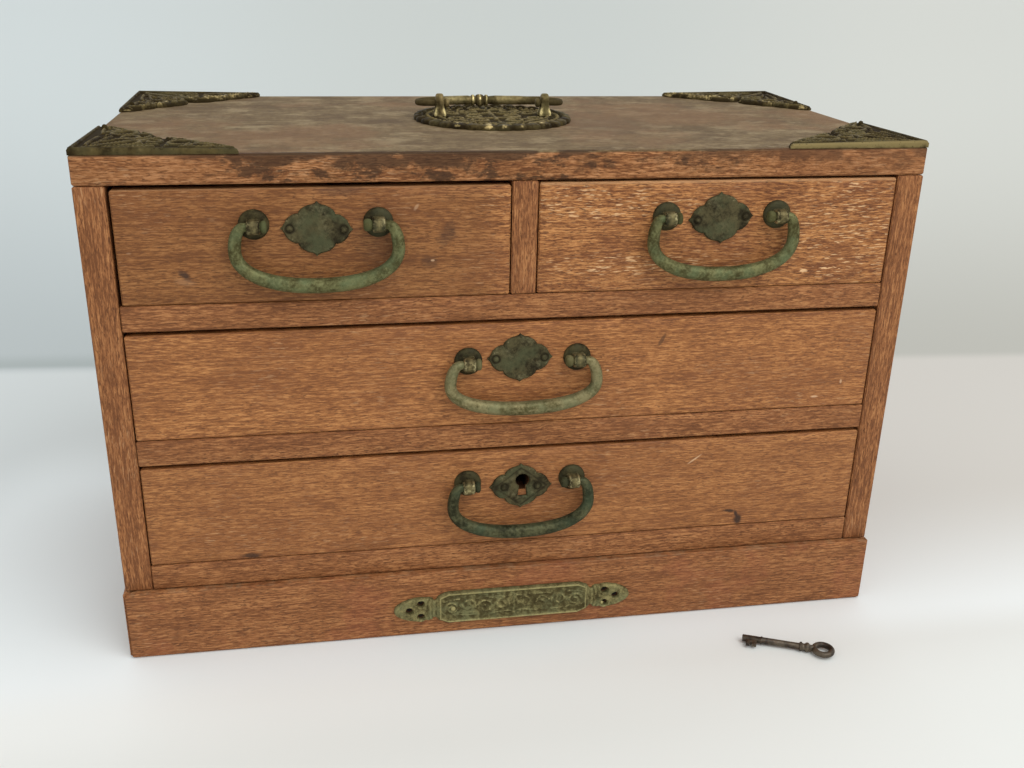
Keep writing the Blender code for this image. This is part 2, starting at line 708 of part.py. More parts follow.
def drawer_lock(shell, carrier):
    """The lock case on the back of the bottom drawer's front, and the bolt that rises out of it."""
    hole_height = shell["plate"] + keyhole_rise
    top, bottom = shell["height"] - lock_top_clearance, hole_height - lock_under_keyhole
    start, across = front_thickness + seat_gap, bolt_width / 2 + running_gap
    back, middle = bolt_thickness / 2 + running_gap, (keyhole_across(shell), 0, 0)
    case = block((-lock_width / 2, start, bottom), (lock_width / 2, start + lock_depth, top), board_easing)
    channel = block((-across, bolt_line() - back, hole_height - keyhole_radius),
                    (across, bolt_line() + back, top + overrun))
    case = combined(case, channel, "DIFFERENCE")
    bore = pin(keyhole_radius, lock_wall + back + overrun, round_steps)
    bmesh.ops.rotate(bore, matrix=Matrix.Rotation(math.radians(90), 3, "Z"), verts=bore.verts)
    bore_middle = start - overrun + (lock_wall + back + overrun) / 2
    case = combined(case, moved(bore, (0, bore_middle, hole_height)), "DIFFERENCE")
    add_piece("lock_case", moved(case, middle), "lock_brass", carrier)
    bolt_bottom = hole_height + bolt_over_keyhole
    half_height = (top - bolt_bottom) / 2
    half = (bolt_width / 2, bolt_thickness / 2, half_height)
    bolt = block([-size for size in half], half, running_gap)
    place = (middle[0], bolt_line(), bolt_bottom + half_height)
    add_piece("lock_bolt", bolt, "dark_steel", carrier, place)


def drawer(name, shell, keyed=False):
    carrier = add_carrier(name + "_slide", shell["place"])
    drawer_boards(name, shell, carrier, keyed)
    drawer_fittings(name, shell, carrier, keyed)
    if keyed:
        drawer_lock(shell, carrier)


def key():
    """The drawer's key on the ground: a round shank with a ring bow at one end and a bit at the other."""
    half = key_length / 2
    bow_middle = half - key_bow_radius
    ring_reach = key_bow_radius - key_bow_thickness / 2
    shank_end = bow_middle - ring_reach
    collar_start = shank_end - key_collar_length
    edge_share = 0.15
    edge = key_collar_length * edge_share
    profile = [(0, -half), (key_shank_radius, -half), (key_shank_radius, collar_start)]
    profile += [(key_collar_radius, collar_start + edge), (key_collar_radius, shank_end - edge)]
    profile += [(key_shank_radius, shank_end), (0, shank_end)]
    shape = turned(profile, round_steps)
    bmesh.ops.rotate(shape, matrix=Matrix.Rotation(math.radians(90), 3, "Y"), verts=shape.verts)
    section = []
    for i in range(bar_sides):
        angle = math.tau * i / bar_sides
        radius = ring_reach + key_bow_thickness / 2 * math.cos(angle)
        section.append((radius, key_bow_thickness / 2 * math.sin(angle)))
    bow = moved(turned(section, round_steps, closed=True), (bow_middle, 0, 0))
    shape = combined(shape, bow, "UNION")
    thick = key_bit_thickness / 2
    bit_start = -half + key_bit_thickness
    bit = block((bit_start, -key_bit_width, -thick), (bit_start + key_bit_length, 0, thick))
    shape = combined(shape, bit, "UNION")
    place = (key_across, front_plane - key_ahead, key_collar_radius)
    add_piece("drawer_key", shape, "dark_steel", place=place, turn=(0, 0, key_turn))


clear_scene()
carcass()
plinth()
cartouche()
corner_plates()
medallion()
carrying_handle()
drawer("drawer_small_left", small_left_shell)
drawer("drawer_small_right", small_right_shell)
drawer("drawer_middle", middle_shell)
drawer("drawer_bottom", bottom_shell, keyed=True)
key()
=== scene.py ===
import json
import math
import random

import bmesh
import bpy
import numpy as np
from mathutils import Matrix, Vector, kdtree, noise
from mathutils.geometry import delaunay_2d_cdt


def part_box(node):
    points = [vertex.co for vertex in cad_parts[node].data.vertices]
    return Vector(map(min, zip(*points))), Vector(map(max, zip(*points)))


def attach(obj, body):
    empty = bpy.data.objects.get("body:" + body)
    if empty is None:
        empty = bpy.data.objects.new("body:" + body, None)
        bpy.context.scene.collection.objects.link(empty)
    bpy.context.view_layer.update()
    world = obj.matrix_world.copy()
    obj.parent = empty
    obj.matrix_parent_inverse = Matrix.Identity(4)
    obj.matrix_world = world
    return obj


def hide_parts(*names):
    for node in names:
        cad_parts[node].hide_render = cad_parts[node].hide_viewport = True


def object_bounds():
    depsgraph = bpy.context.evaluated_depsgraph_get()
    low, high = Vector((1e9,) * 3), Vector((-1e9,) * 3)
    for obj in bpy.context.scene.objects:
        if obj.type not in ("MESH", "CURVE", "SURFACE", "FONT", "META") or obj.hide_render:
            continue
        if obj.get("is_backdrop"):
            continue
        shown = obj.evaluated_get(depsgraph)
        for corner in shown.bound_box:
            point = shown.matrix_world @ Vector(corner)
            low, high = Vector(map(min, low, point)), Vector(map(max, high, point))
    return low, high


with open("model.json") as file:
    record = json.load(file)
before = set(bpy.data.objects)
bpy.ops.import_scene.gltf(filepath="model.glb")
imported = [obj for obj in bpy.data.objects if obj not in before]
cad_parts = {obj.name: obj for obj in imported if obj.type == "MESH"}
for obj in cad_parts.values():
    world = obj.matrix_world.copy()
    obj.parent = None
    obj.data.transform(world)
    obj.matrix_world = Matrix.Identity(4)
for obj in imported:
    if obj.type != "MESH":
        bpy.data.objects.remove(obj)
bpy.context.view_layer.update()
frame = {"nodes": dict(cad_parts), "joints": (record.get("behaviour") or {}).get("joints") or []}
random_source = random.Random(21)


# Carcass
# Planks of an open-pored reddish hardwood, butted, glued and nailed. The front edges of the sides
# and shelves show as the frame round the drawers, and every arris is rubbed round and nicked.
class Socket:
    """One output among a material's nodes. Arithmetic on it adds Math nodes."""

    def __init__(self, tree, output=None):
        self.tree = tree
        self.output = output

    def node(self, kind, settings=None, inputs=None, output=0):
        """Adds a node: its settings or a ramp's stops first, then the values or links of its sockets."""
        made = self.tree.nodes.new("ShaderNode" + kind)
        for setting, value in (settings or {}).items():
            setattr(made, setting, value)
        for socket, value in (inputs or {}).items():
            if isinstance(value, Socket):
                self.tree.links.new(value.output, made.inputs[socket])
            else:
                made.inputs[socket].default_value = value
        return Socket(self.tree, made.outputs[output])

    def math(self, operation, *values):
        return self.node("Math", {"operation": operation}, dict(enumerate(values)))

    def __add__(self, other):
        return self.math("ADD", self, other)

    def __sub__(self, other):
        return self.math("SUBTRACT", self, other)

    def __rsub__(self, other):
        return self.math("SUBTRACT", other, self)

    def __mul__(self, other):
        return self.math("MULTIPLY", self, other)

    __radd__, __rmul__ = __add__, __mul__

    def between(self, low, high):
        """A mask that rises smoothly from 0 at the low value to 1 at the high one."""
        return self.node("MapRange", {"interpolation_type": "SMOOTHSTEP"}, {0: self, 1: low, 2: high})

    def mix(self, first, second):
        """The first colour where this mask is 0, and the second where it is 1."""
        return self.node("Mix", {"data_type": "RGBA"}, {0: self, 6: first, 7: second}, output=2)

    def vector(self, operation, other=(0, 0, 0), output=0):
        return self.node("VectorMath", {"operation": operation}, {0: self, 1: other}, output)

    def part(self, axis):
        """The X, Y or Z of this vector, as axis 0, 1 or 2."""
        return self.node("SeparateXYZ", None, {0: self}, axis)

    def noise(self, scale, detail=2.0, roughness=0.5):
        """Noise about 0.5 over this vector; a scale of three numbers stretches it."""
        place = self if isinstance(scale, (int, float)) else self.vector("MULTIPLY", scale)
        size = scale if isinstance(scale, (int, float)) else 1.0
        values = {"Vector": place, "Scale": size, "Detail": detail, "Roughness": roughness}
        return self.node("TexNoise", None, values)


def colour(red, green, blue):
    """A colour as it is seen, from 0 to 255, for a shader's socket."""
    levels = [value / 255 for value in (red, green, blue)]
    return (*[v / 12.92 if v <= 0.04045 else ((v + 0.055) / 1.055) ** 2.4 for v in levels], 1.0)


def new_material(name):
    material = bpy.data.materials.new(name)
    material.use_nodes = True
    return material, Socket(material.node_tree)


def dress(material, sockets, height=None, strength=0.6, depth=0.0003):
    """Sets or links sockets of the material's main shader, and lays a bump on it from a height."""
    shader = material.node_tree.nodes["Principled BSDF"]
    if height is not None:
        bump = height.node("Bump", None, {"Strength": strength, "Distance": depth, "Height": height})
        sockets = {**sockets, "Normal": bump}
    for socket, value in sockets.items():
        if isinstance(value, Socket):
            material.node_tree.links.new(value.output, shader.inputs[socket])
        else:
            shader.inputs[socket].default_value = value
    return material


def coated(shade, *coats):
    """The shade under coats of a mask and a seen colour, from the lowest one up."""
    for mask, tint in coats:
        shade = mask.mix(shade, colour(*tint))
    return shade


def blot(place, middle, wide, tall, tilt=0.0, ragged=0.9, flat=False):
    """A ragged patch on an upright face, or on a flat one, in metres: 1 inside it and 0 outside. It lays
    stains, and also painted shade, shadows and light.
    """
    location = (*middle, 0) if flat else (middle[0], 0, middle[1])
    turns = (0, 0, tilt) if flat else (0, tilt, 0)
    scale = (wide, tall, 1) if flat else (wide, 1, tall)
    values = {"Vector": place, "Location": location, "Rotation": turns, "Scale": scale}
    inside = place.node("Mapping", {"vector_type": "TEXTURE"}, values)
    reach = inside.vector("MULTIPLY", (1, 1, 0) if flat else (1, 0, 1)).vector("LENGTH", output="Value")
    return (reach + (place.noise(420, 3, 0.6) - 0.5) * ragged).between(1.0, 0.35)


def grain_layers(any_node):
    """The masks that a hardwood's finish is mixed from, and the height of its grain."""
    place = any_node.node("TexCoord", output="Object")
    grain = any_node.node("Attribute", {"attribute_name": "grain"}, output="Vector")
    edge = any_node.node("Attribute", {"attribute_name": "edge"}, output="Fac")
    sway = (grain.noise((8, 50, 50), 2) - 0.5) * 0.006
    grain = grain.vector("ADD", any_node.node("CombineXYZ", None, {1: sway, 2: sway}))
    bands = grain.noise((5, 130, 130), 3, 0.55)
    clouds = grain.noise((38, 150, 150), 4, 0.62)
    streaks = grain.noise((60, 1150, 1150), 3, 0.65)
    fibres = grain.noise((240, 1900, 1900), 3, 0.72)
    dashes = grain.noise((420, 2400, 2400), 2, 0.5)
    flecks = grain.noise((210, 1600, 1600), 2, 0.5)
    tone = bands * 0.22 + clouds * 0.22 + streaks * 0.55 + fibres * 0.95 - 0.47
    return {"place": place, "edge": edge, "tone": tone, "flecks": flecks.between(0.58, 0.68),
            "pores": (dashes + bands * 0.25).between(0.70, 0.80), "patches": place.noise(26, 3, 0.6),
            "height": fibres + dashes.between(0.56, 0.70) * -0.8}


def grain_colours(layers, *shades):
    """Four shades of one wood, its dark, middle, light and pore colours, laid out by its grain."""
    dark, middle, light, pore = [colour(*shade) for shade in shades]
    tone = layers["tone"]
    shade = tone.between(0.37, 0.53).mix(dark, tone.between(0.50, 0.66).mix(middle, light))
    return (layers["pores"] * 0.7).mix(shade, pore)


def plank(low, high, along=0, arris=0.0005, wear=0.0004, cell=0.006):
    """A plank whose arrises are rubbed round, with a mark on them, and its own grain coordinates."""
    low, size = np.array(low), np.array(high) - np.array(low)
    rim = arris * np.array([0.0, 0.3, 0.65])
    ticks = []
    for length in size:
        inner = np.linspace(arris, length - arris, max(2, round(length / cell)) + 1)
        ticks.append(np.concatenate([rim, inner, length - rim[::-1]]))
    counts = [len(tick) for tick in ticks]
    number = -np.ones(counts, int)
    lattice = np.indices(counts)
    skin = np.zeros(counts, bool)
    for axis in range(3):
        skin |= (lattice[axis] == 0) | (lattice[axis] == counts[axis] - 1)
    number[skin] = np.arange(skin.sum())
    raw = np.stack([ticks[axis][lattice[axis][skin]] for axis in range(3)], 1)
    core = np.clip(raw, arris, size - arris)
    out = raw - core
    out /= np.linalg.norm(out, axis=1)[:, None]
    edge = np.sort(np.abs(out), 1)[:, 1] * math.sqrt(2)
    places = low + core + out * arris
    for i in np.nonzero(edge > 0.05)[0]:
        spot = Vector(places[i])
        rub = 0.5 + 0.5 * noise.noise(spot * 70) + 1.6 * max(0.0, noise.noise(spot * 150) - 0.38)
        places[i] -= out[i] * wear * edge[i] * max(rub, 0.0)
    faces = []
    for axis in range(3):
        for end in (0, -1):
            grid = np.take(number, end, axis)
            quads = np.stack([grid[:-1, :-1], grid[1:, :-1], grid[1:, 1:], grid[:-1, 1:]], -1)
            quads = quads.reshape(-1, 4)
            faces += (quads[:, ::-1] if (axis == 1) == (end == -1) else quads).tolist()
    order = [along] + sorted((axis for axis in range(3) if axis != along), key=lambda axis: -size[axis])
    shift = [random_source.uniform(0, 4) for _ in range(3)]
    mesh = bpy.data.meshes.new("plank")
    mesh.from_pydata(places.tolist(), [], faces)
    grain = (raw[:, order] + shift).ravel()
    mesh.attributes.new("grain", "FLOAT_VECTOR", "POINT").data.foreach_set("vector", grain)
    mesh.attributes.new("edge", "FLOAT", "POINT").data.foreach_set("value", edge)
    return mesh


def add_piece(name, mesh, material, body, node, crease=40):
    """A finished piece that rides on a body and stands for one of the frame's nodes."""
    mesh.shade_smooth()
    mesh.set_sharp_from_angle(angle=math.radians(crease))
    mesh.materials.clear()
    mesh.materials.append(material)
    piece = bpy.data.objects.new(name, mesh)
    bpy.context.scene.collection.objects.link(piece)
    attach(piece, body)
    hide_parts(node)


def add_plank(node, mesh, body="carcass", slot="case_wood"):
    """A board's plank, in the finish of its slot."""
    add_piece(node + "_plank", mesh, board_finishes[slot], body, node)


def case_wood():
    """The sides, shelves and plinth: oiled, rubbed pale at the edges, dusty on the plinth's ledge, and
    painted with shade in the screw holes behind the cartouche's tabs.
    """
    material, any_node = new_material("case_wood")
    layers = grain_layers(any_node)
    place, patches = layers["place"], layers["patches"]
    level = place.part(2)
    redder = place.noise(34, 3, 0.6).between(0.50, 0.62) * level.between(plinth_top + 0.001, plinth_top)
    above = level.between(plinth_top - 0.0009, plinth_top - 0.0002)
    ledge = above * level.between(plinth_top + 0.0009, plinth_top + 0.0003)
    shade = grain_colours(layers, (112, 68, 37), (144, 92, 53), (174, 120, 74), (84, 48, 25))
    shade = coated(
        shade,
        (patches.between(0.44, 0.66) * 0.25, (124, 76, 44)),
        (redder * 0.25, (148, 82, 56)),
        ((layers["edge"] * patches).between(0.40, 0.66) * 0.4, (180, 130, 88)),
        (layers["flecks"] * patches.between(0.50, 0.66) * 0.45, (206, 158, 112)),
        (ledge * place.noise(150, 3, 0.7).between(0.40, 0.70) * 0.5, (150, 120, 88)),
        # Painted shade: dark spots where the screw holes show through the cartouche's tab holes.
        *[(blot(place, hole, screw_radius, screw_radius, ragged=0.2), (20, 14, 10)) for hole in shaded_screw_holes])
    looks = {"Base Color": shade, "Roughness": layers["tone"] * 0.25 + 0.52, "Specular IOR Level": 0.25}
    return dress(material, looks, layers["height"])


def top_wood():
    """The top board: faded on its upper face, stained dark along its front arris, and painted with the
    medallion's shadow on either side of it.
    """
    material, any_node = new_material("top_wood")
    layers = grain_layers(any_node)
    place, patches, flecks = layers["place"], layers["patches"], layers["flecks"]
    bare = grain_colours(layers, (112, 68, 38), (158, 106, 64), (190, 136, 92), (76, 44, 24))
    bare = coated(bare, (flecks * patches.between(0.46, 0.66) * 0.5, (214, 170, 126)))
    # Painted shadow of the medallion on the top, beside its left and right sides.
    medallion_shadow = blot(place, (-0.048, -0.006), 0.022, 0.014, flat=True)
    medallion_shadow = medallion_shadow + blot(place, (0.050, -0.020), 0.03, 0.03, flat=True)
    faded = grain_colours(layers, (90, 72, 48), (116, 97, 67), (140, 121, 88), (76, 59, 39))
    faded = coated(
        faded,
        (place.noise((42, 60, 24), 5, 0.70).between(0.46, 0.60) * 0.75, (92, 73, 48)),
        (place.noise((50, 80, 20), 5, 0.70).between(0.50, 0.62) * 0.65, (148, 130, 98)),
        (place.noise(13, 4, 0.65).between(0.46, 0.60) * 0.6, (122, 90, 60)),
        (place.noise(260, 4, 0.7).between(0.50, 0.66) * 0.35, (84, 66, 45)),
        (flecks * patches.between(0.46, 0.7) * 0.45, (166, 148, 118)),
        (medallion_shadow * 0.35, (84, 66, 46)))
    level, across = place.part(2), place.part(0)
    shade = level.between(cad_top - 0.0010, cad_top - 0.0002).mix(bare, faded)
    face = place.part(1).between(cad_front + 0.004, cad_front + 0.0004)
    uneven = level + (place.noise(150, 4, 0.65) - 0.5) * 0.018
    under_arris = uneven.between(cad_top - 0.0078, cad_top - 0.0012)
    soaked = place.noise((34, 34, 90), 3, 0.6).between(0.38, 0.58)
    stretch = across.between(-0.140, -0.100) * (1 - across.between(0.010, 0.060) * 0.55)
    specks = place.noise((80, 80, 150), 4, 0.7).between(0.50, 0.64) * 0.55
    stain = face * stretch * (under_arris * soaked + specks + 0.16)
    shade = coated(
        shade,
        (stain.between(0.0, 0.7) * 0.85, (62, 42, 27)),
        (face * across.between(0.07, 0.12) * 0.35, (126, 80, 48)),
        (face * across.between(-0.09, -0.13) * 0.30, (118, 76, 46)))
    looks = {"Base Color": shade, "Roughness": layers["tone"] * 0.2 + 0.66, "Specular IOR Level": 0.2}
    return dress(material, looks, layers["height"])


def inner_wood():
    """Pale softwood, sawn and left bare: the back, the base and the drawers' hidden boards."""
    material, any_node = new_material("inner_wood")
    layers = grain_layers(any_node)
    shade = grain_colours(layers, (150, 112, 70), (186, 150, 102), (206, 174, 126), (136, 100, 60))
    shade = coated(
        shade,
        (layers["patches"].between(0.46, 0.68) * 0.5, (138, 104, 68)),
        (layers["edge"] * 0.35, (120, 90, 60)))
    return dress(material, {"Base Color": shade, "Roughness": 0.74}, layers["height"], 0.5)


cad_top, cad_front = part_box("top_board")[1].z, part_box("top_board")[0].y
plinth_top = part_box("plinth_front")[1].z
cartouche_low, cartouche_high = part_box("plinth_cartouche")
cartouche_x = (cartouche_low.x + cartouche_high.x) / 2
cartouche_z = (cartouche_low.z + cartouche_high.z) / 2
cartouche_tip = (cartouche_high.x - cartouche_low.x) / 2
screw_radius = 0.0021
tab_holes = [(cartouche_tip - 0.0066, 0), (cartouche_tip - 0.0116, -0.0032), (cartouche_tip - 0.0116, 0.0032)]
# The screw holes behind the cartouche's tab holes, where shade is painted on the plinth.
shaded_screw_holes = [(cartouche_x + side * x, cartouche_z + z) for x, z in tab_holes for side in (-1, 1)]
board_finishes = {"case_wood": case_wood(), "inner_wood": inner_wood()}
top = plank(*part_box("top_board"), arris=0.0007, wear=0.0006, cell=0.0045)
add_piece("top_plank", top, top_wood(), "carcass", "top_board")
board_runs = (("side_left", 2), ("side_right", 2), ("divider", 2), ("bottom_board", 0), ("upper_shelf", 0))
for name, along in board_runs:
    add_plank(name, plank(*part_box(name), along))
for name in ("back_panel", "base_panel"):
    add_plank(name, plank(*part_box(name)), slot="inner_wood")


def cut(mesh, cutter):
    """The mesh less a closed cutter mesh; both are in the chest's own frame."""
    blank, tool = [bpy.data.objects.new("workpiece", part) for part in (mesh, cutter)]
    for workpiece in (blank, tool):
        bpy.context.scene.collection.objects.link(workpiece)
    step = blank.modifiers.new("cut", "BOOLEAN")
    step.operation = "DIFFERENCE"
    step.object = tool
    evaluated = blank.evaluated_get(bpy.context.evaluated_depsgraph_get())
    result = bpy.data.meshes.new_from_object(evaluated)
    for workpiece in (blank, tool):
        bpy.data.objects.remove(workpiece, do_unlink=True)
    return result


def prism(outline, low, high, axes):
    """A closed cutter: an outline in two axes, from a low to a high place on the third."""
    first, second = axes
    third = 3 - first - second
    count = len(outline)
    shape = bmesh.new()
    corners = []
    for level in (low, high):
        for point in outline:
            place = [0.0, 0.0, 0.0]
            place[first], place[second], place[third] = point[0], point[1], level
            corners.append(shape.verts.new(place))
    shape.faces.new(corners[:count])
    shape.faces.new(corners[count:])
    for i in range(count):
        j = (i + 1) % count
        shape.faces.new([corners[i], corners[j], corners[count + j], corners[count + i]])
    bmesh.ops.recalc_face_normals(shape, faces=shape.faces)
    mesh = bpy.data.meshes.new("cutter")
    shape.to_mesh(mesh)
    shape.free()
    return mesh


# The lower shelf has a mortise in its underside, chopped for the lock's bolt.
bolt_low, bolt_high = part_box("lock_bolt")
mortise_gap, mortise_depth, overrun = 0.0008, 0.0063, 0.001
left, right = bolt_low.x - mortise_gap, bolt_high.x + mortise_gap
front, back = bolt_low.y - mortise_gap, bolt_high.y + mortise_gap
mortise = [(left, front), (right, front), (right, back), (left, back)]
shelf_low, shelf_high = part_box("lower_shelf")
chopped = prism(mortise, shelf_low.z - overrun, bolt_high.z + mortise_depth, (0, 1))
add_plank("lower_shelf", cut(plank(shelf_low, shelf_high), chopped))


# Plinth
# A skirt of three mitred boards, glued round the bottom of the carcass and standing a little proud,
# with dust on its ledge. The grain runs along each board.
def mitred(node, along, depth_axis, outer, ends):
    """A plank whose ends are cut back by as much as a point lies behind the board's outer face."""
    low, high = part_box(node)
    mesh = plank(low, high, along, arris=0.0009, wear=0.0009)
    for vertex in mesh.vertices:
        depth = abs(vertex.co[depth_axis] - outer)
        start = low[along] + (depth if -1 in ends else 0)
        end = high[along] - (depth if 1 in ends else 0)
        share = (vertex.co[along] - low[along]) / (high[along] - low[along])
        vertex.co[along] = start + (end - start) * share
    return mesh


plinth_low, plinth_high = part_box("plinth_front")
add_plank("plinth_front", mitred("plinth_front", 0, 1, plinth_low.y, (-1, 1)))
for name, outer in (("plinth_left", plinth_low.x), ("plinth_right", plinth_high.x)):
    add_plank(name, mitred(name, 1, 0, outer, (-1,)))


# Drawers
# Each has a front of the reddish hardwood, oiled and much handled, nailed to two walls, a tail and
# a thin floor of pale softwood. The bottom drawer's front is bored for the key.
def drawer_wood():
    """The drawers' fronts, each row of its own shade, with the marks of use where they are seen, and painted
    shade on the walls of the keyhole's bore.
    """
    material, any_node = new_material("drawer_wood")
    layers = grain_layers(any_node)
    place, patches = layers["place"], layers["patches"]
    level = place.part(2)
    lower_rows, lowest_row = level.between(0.150, 0.140), level.between(0.096, 0.090)
    left_small = place.part(0).between(-0.005, -0.02) * (1 - lower_rows)
    dry = blot(place, (0.135, 0.178), 0.040, 0.030) + blot(place, (0.030, 0.190), 0.06, 0.010)
    dry = dry + blot(place, (0.040, 0.166), 0.05, 0.006) + blot(place, (0.124, 0.1610), 0.014, 0.0020) * 2.0
    smudges = [(-0.1290, 0.1662, 0.0034, 0.0019, 0.6, 0.85), (-0.0300, 0.1800, 0.004, 0.008, 0.5, 0.45),
               (-0.0370, 0.1690, 0.004, 0.004, 0.0, 0.4), (-0.0560, 0.1780, 0.012, 0.018, 0.0, 0.25),
               (-0.0700, 0.1975, 0.012, 0.003, 0.0, 0.4), (0.0590, 0.1330, 0.0011, 0.0042, 0.5, 0.6),
               (-0.1130, 0.0442, 0.0055, 0.0018, 0.1, 0.8), (0.1010, 0.0456, 0.0024, 0.0034, -0.3, 0.95),
               (0.0966, 0.0502, 0.0040, 0.0011, 0.12, 0.95), (0.0998, 0.0484, 0.0012, 0.0032, -0.4, 0.95)]
    chips = [(0.0780, 0.0770, 0.0050, 0.0005, -0.62, 0.7), (0.1415, 0.1106, 0.0007, 0.0013, 0.0, 0.6),
             (0.0365, 0.1205, 0.0008, 0.0006, 0.0, 0.6), (-0.0360, 0.1695, 0.0010, 0.0006, 0.0, 0.6),
             (-0.0420, 0.1905, 0.0009, 0.0020, 0.6, 0.35), (-0.1480, 0.1750, 0.0012, 0.0005, 0.0, 0.2),
             (-0.1290, 0.1634, 0.0050, 0.0018, 0.2, 0.12), (0.1300, 0.1040, 0.0022, 0.0007, 0.0, 0.7)]
    marks = [(blot(place, (x, z), wide, tall, tilt, ragged) * strength, tint)
             for spots, ragged, tint in ((smudges, 0.9, (58, 38, 26)), (chips, 0.3, (212, 174, 136)))
             for x, z, wide, tall, tilt, strength in spots]
    # Painted shade on the walls of the keyhole's bore, behind the front's face.
    keyhole_bore_shade = blot(place, (hole_x, hole_z - 0.0010), 0.0052, 0.0066, ragged=0.0)
    keyhole_bore_shade = keyhole_bore_shade * place.part(1).between(fronts_plane + 0.0001, fronts_plane + 0.0003)
    shade = grain_colours(layers, (108, 62, 30), (154, 99, 53), (192, 134, 80), (74, 40, 18))
    shade = coated(
        shade,
        (lower_rows * 0.20, (174, 114, 66)),
        (lowest_row * 0.15, (112, 72, 40)),
        (left_small * 0.50, (108, 67, 30)),
        (patches.between(0.44, 0.68) * 0.35, (124, 74, 40)),
        (layers["flecks"] * (dry * 0.80 + patches.between(0.48, 0.68) * 0.30), (222, 178, 130)),
        (level.between(drawers_top - 0.0014, drawers_top - 0.0006) * 0.5, (196, 152, 106)),
        *marks,
        ((layers["edge"] * patches).between(0.35, 0.62) * 0.5, (190, 142, 98)),
        (keyhole_bore_shade, (16, 10, 7)))
    looks = {"Base Color": shade, "Roughness": layers["tone"] * 0.25 + 0.46, "Specular IOR Level": 0.3}
    return dress(material, looks, layers["height"], 0.55)


def keyhole(radius, neck, foot, drop, steps=28):
    """A round hole over a slot that widens to its foot, as places about the middle of the round."""
    start = math.asin(neck / 2 / radius)
    turns = [-math.pi / 2 + start + (math.tau - 2 * start) * i / steps for i in range(steps + 1)]
    arc = [(radius * math.cos(turn), radius * math.sin(turn)) for turn in turns]
    return [(foot / 2, -drop), *arc, (-foot / 2, -drop)]


drawer_names = ("drawer_small_left", "drawer_small_right", "drawer_middle", "drawer_bottom")
keyed = "drawer_bottom"
hole_radius, hole_neck, board_hole_drop = 0.0030, 0.0028, 0.0045
keyhole_rise, keyhole_shift = 0.0026, 0.0007
keyed_plate_low, keyed_plate_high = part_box(keyed + "_plate")
hole_x = (keyed_plate_low.x + keyed_plate_high.x) / 2 + keyhole_shift
hole_z = (keyed_plate_low.z + keyed_plate_high.z) / 2 + keyhole_rise
fronts_plane, drawers_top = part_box(keyed + "_front")[0].y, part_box("drawer_small_left_front")[1].z
front_trims = dict(zip(drawer_names, ((0.0008, 0.0009), (0, 0.0002), (0, 0.0007), (0, 0.0007))))
board_finishes["drawer_wood"] = drawer_wood()
for drawer in drawer_names:
    low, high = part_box(drawer + "_front")
    worn_side, worn_top = front_trims[drawer]
    seen_low, seen_high = low + Vector((worn_side, 0, 0)), high - Vector((0, 0, worn_top))
    front = plank(seen_low, seen_high, arris=0.0006, wear=0.0005, cell=0.005)
    if drawer == keyed:
        slot = keyhole(hole_radius, hole_neck, hole_neck, board_hole_drop)
        outline = [(hole_x + x, hole_z + z) for x, z in slot]
        front = cut(front, prism(outline, low.y - overrun, high.y + overrun, (0, 2)))
    add_plank(drawer + "_front", front, drawer, "drawer_wood")
    for board, along in (("_wall_left", 1), ("_wall_right", 1), ("_tail", 0), ("_floor", 0)):
        mesh = plank(*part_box(drawer + board), along, arris=0.0004, wear=0.0003, cell=0.009)
        add_plank(drawer + board, mesh, drawer, "inner_wood")


# Drawer lock
# A folded sheet-brass case, screwed to the back of the bottom drawer's front, with a steel bolt that
# the key lifts into the shelf above. Both are the frame's own solids, tarnished and scratched.
def lock_finish(name, dull, clean, dark, metallic):
    """Sheet or bar metal, tarnished in clouds and scratched, and painted with shade behind the keyhole."""
    material, any_node = new_material(name)
    place = any_node.node("TexCoord", output="Object")
    cloud, scratches = place.noise(90, 4, 0.6), place.noise((900, 900, 60), 3, 0.6)
    shade = cloud.between(0.40, 0.62).mix(colour(*dull), colour(*clean))
    shade = coated(
        shade,
        (place.noise(600, 3, 0.6).between(0.58, 0.70) * 0.7, dark),
        (scratches.between(0.62, 0.72) * 0.3, clean),
        # Painted shade on the metal seen through the keyhole.
        (blot(place, (hole_x, hole_z), 0.0090, 0.0100, ragged=0.3), (12, 9, 6)))
    looks = {"Base Color": shade, "Metallic": metallic, "Roughness": cloud * 0.4 + 0.22}
    return dress(material, looks, cloud + scratches, 0.3, 0.0001)


lock_brass = lock_finish("lock_brass", (142, 112, 62), (188, 156, 92), (92, 66, 36), 0.85)
bolt_steel = lock_finish("bolt_steel", (84, 80, 76), (128, 124, 118), (74, 50, 38), 0.80)
for node, finish in (("lock_case", lock_brass), ("lock_bolt", bolt_steel)):
    frame["nodes"][node].data.materials.clear()
    frame["nodes"][node].data.materials.append(finish)


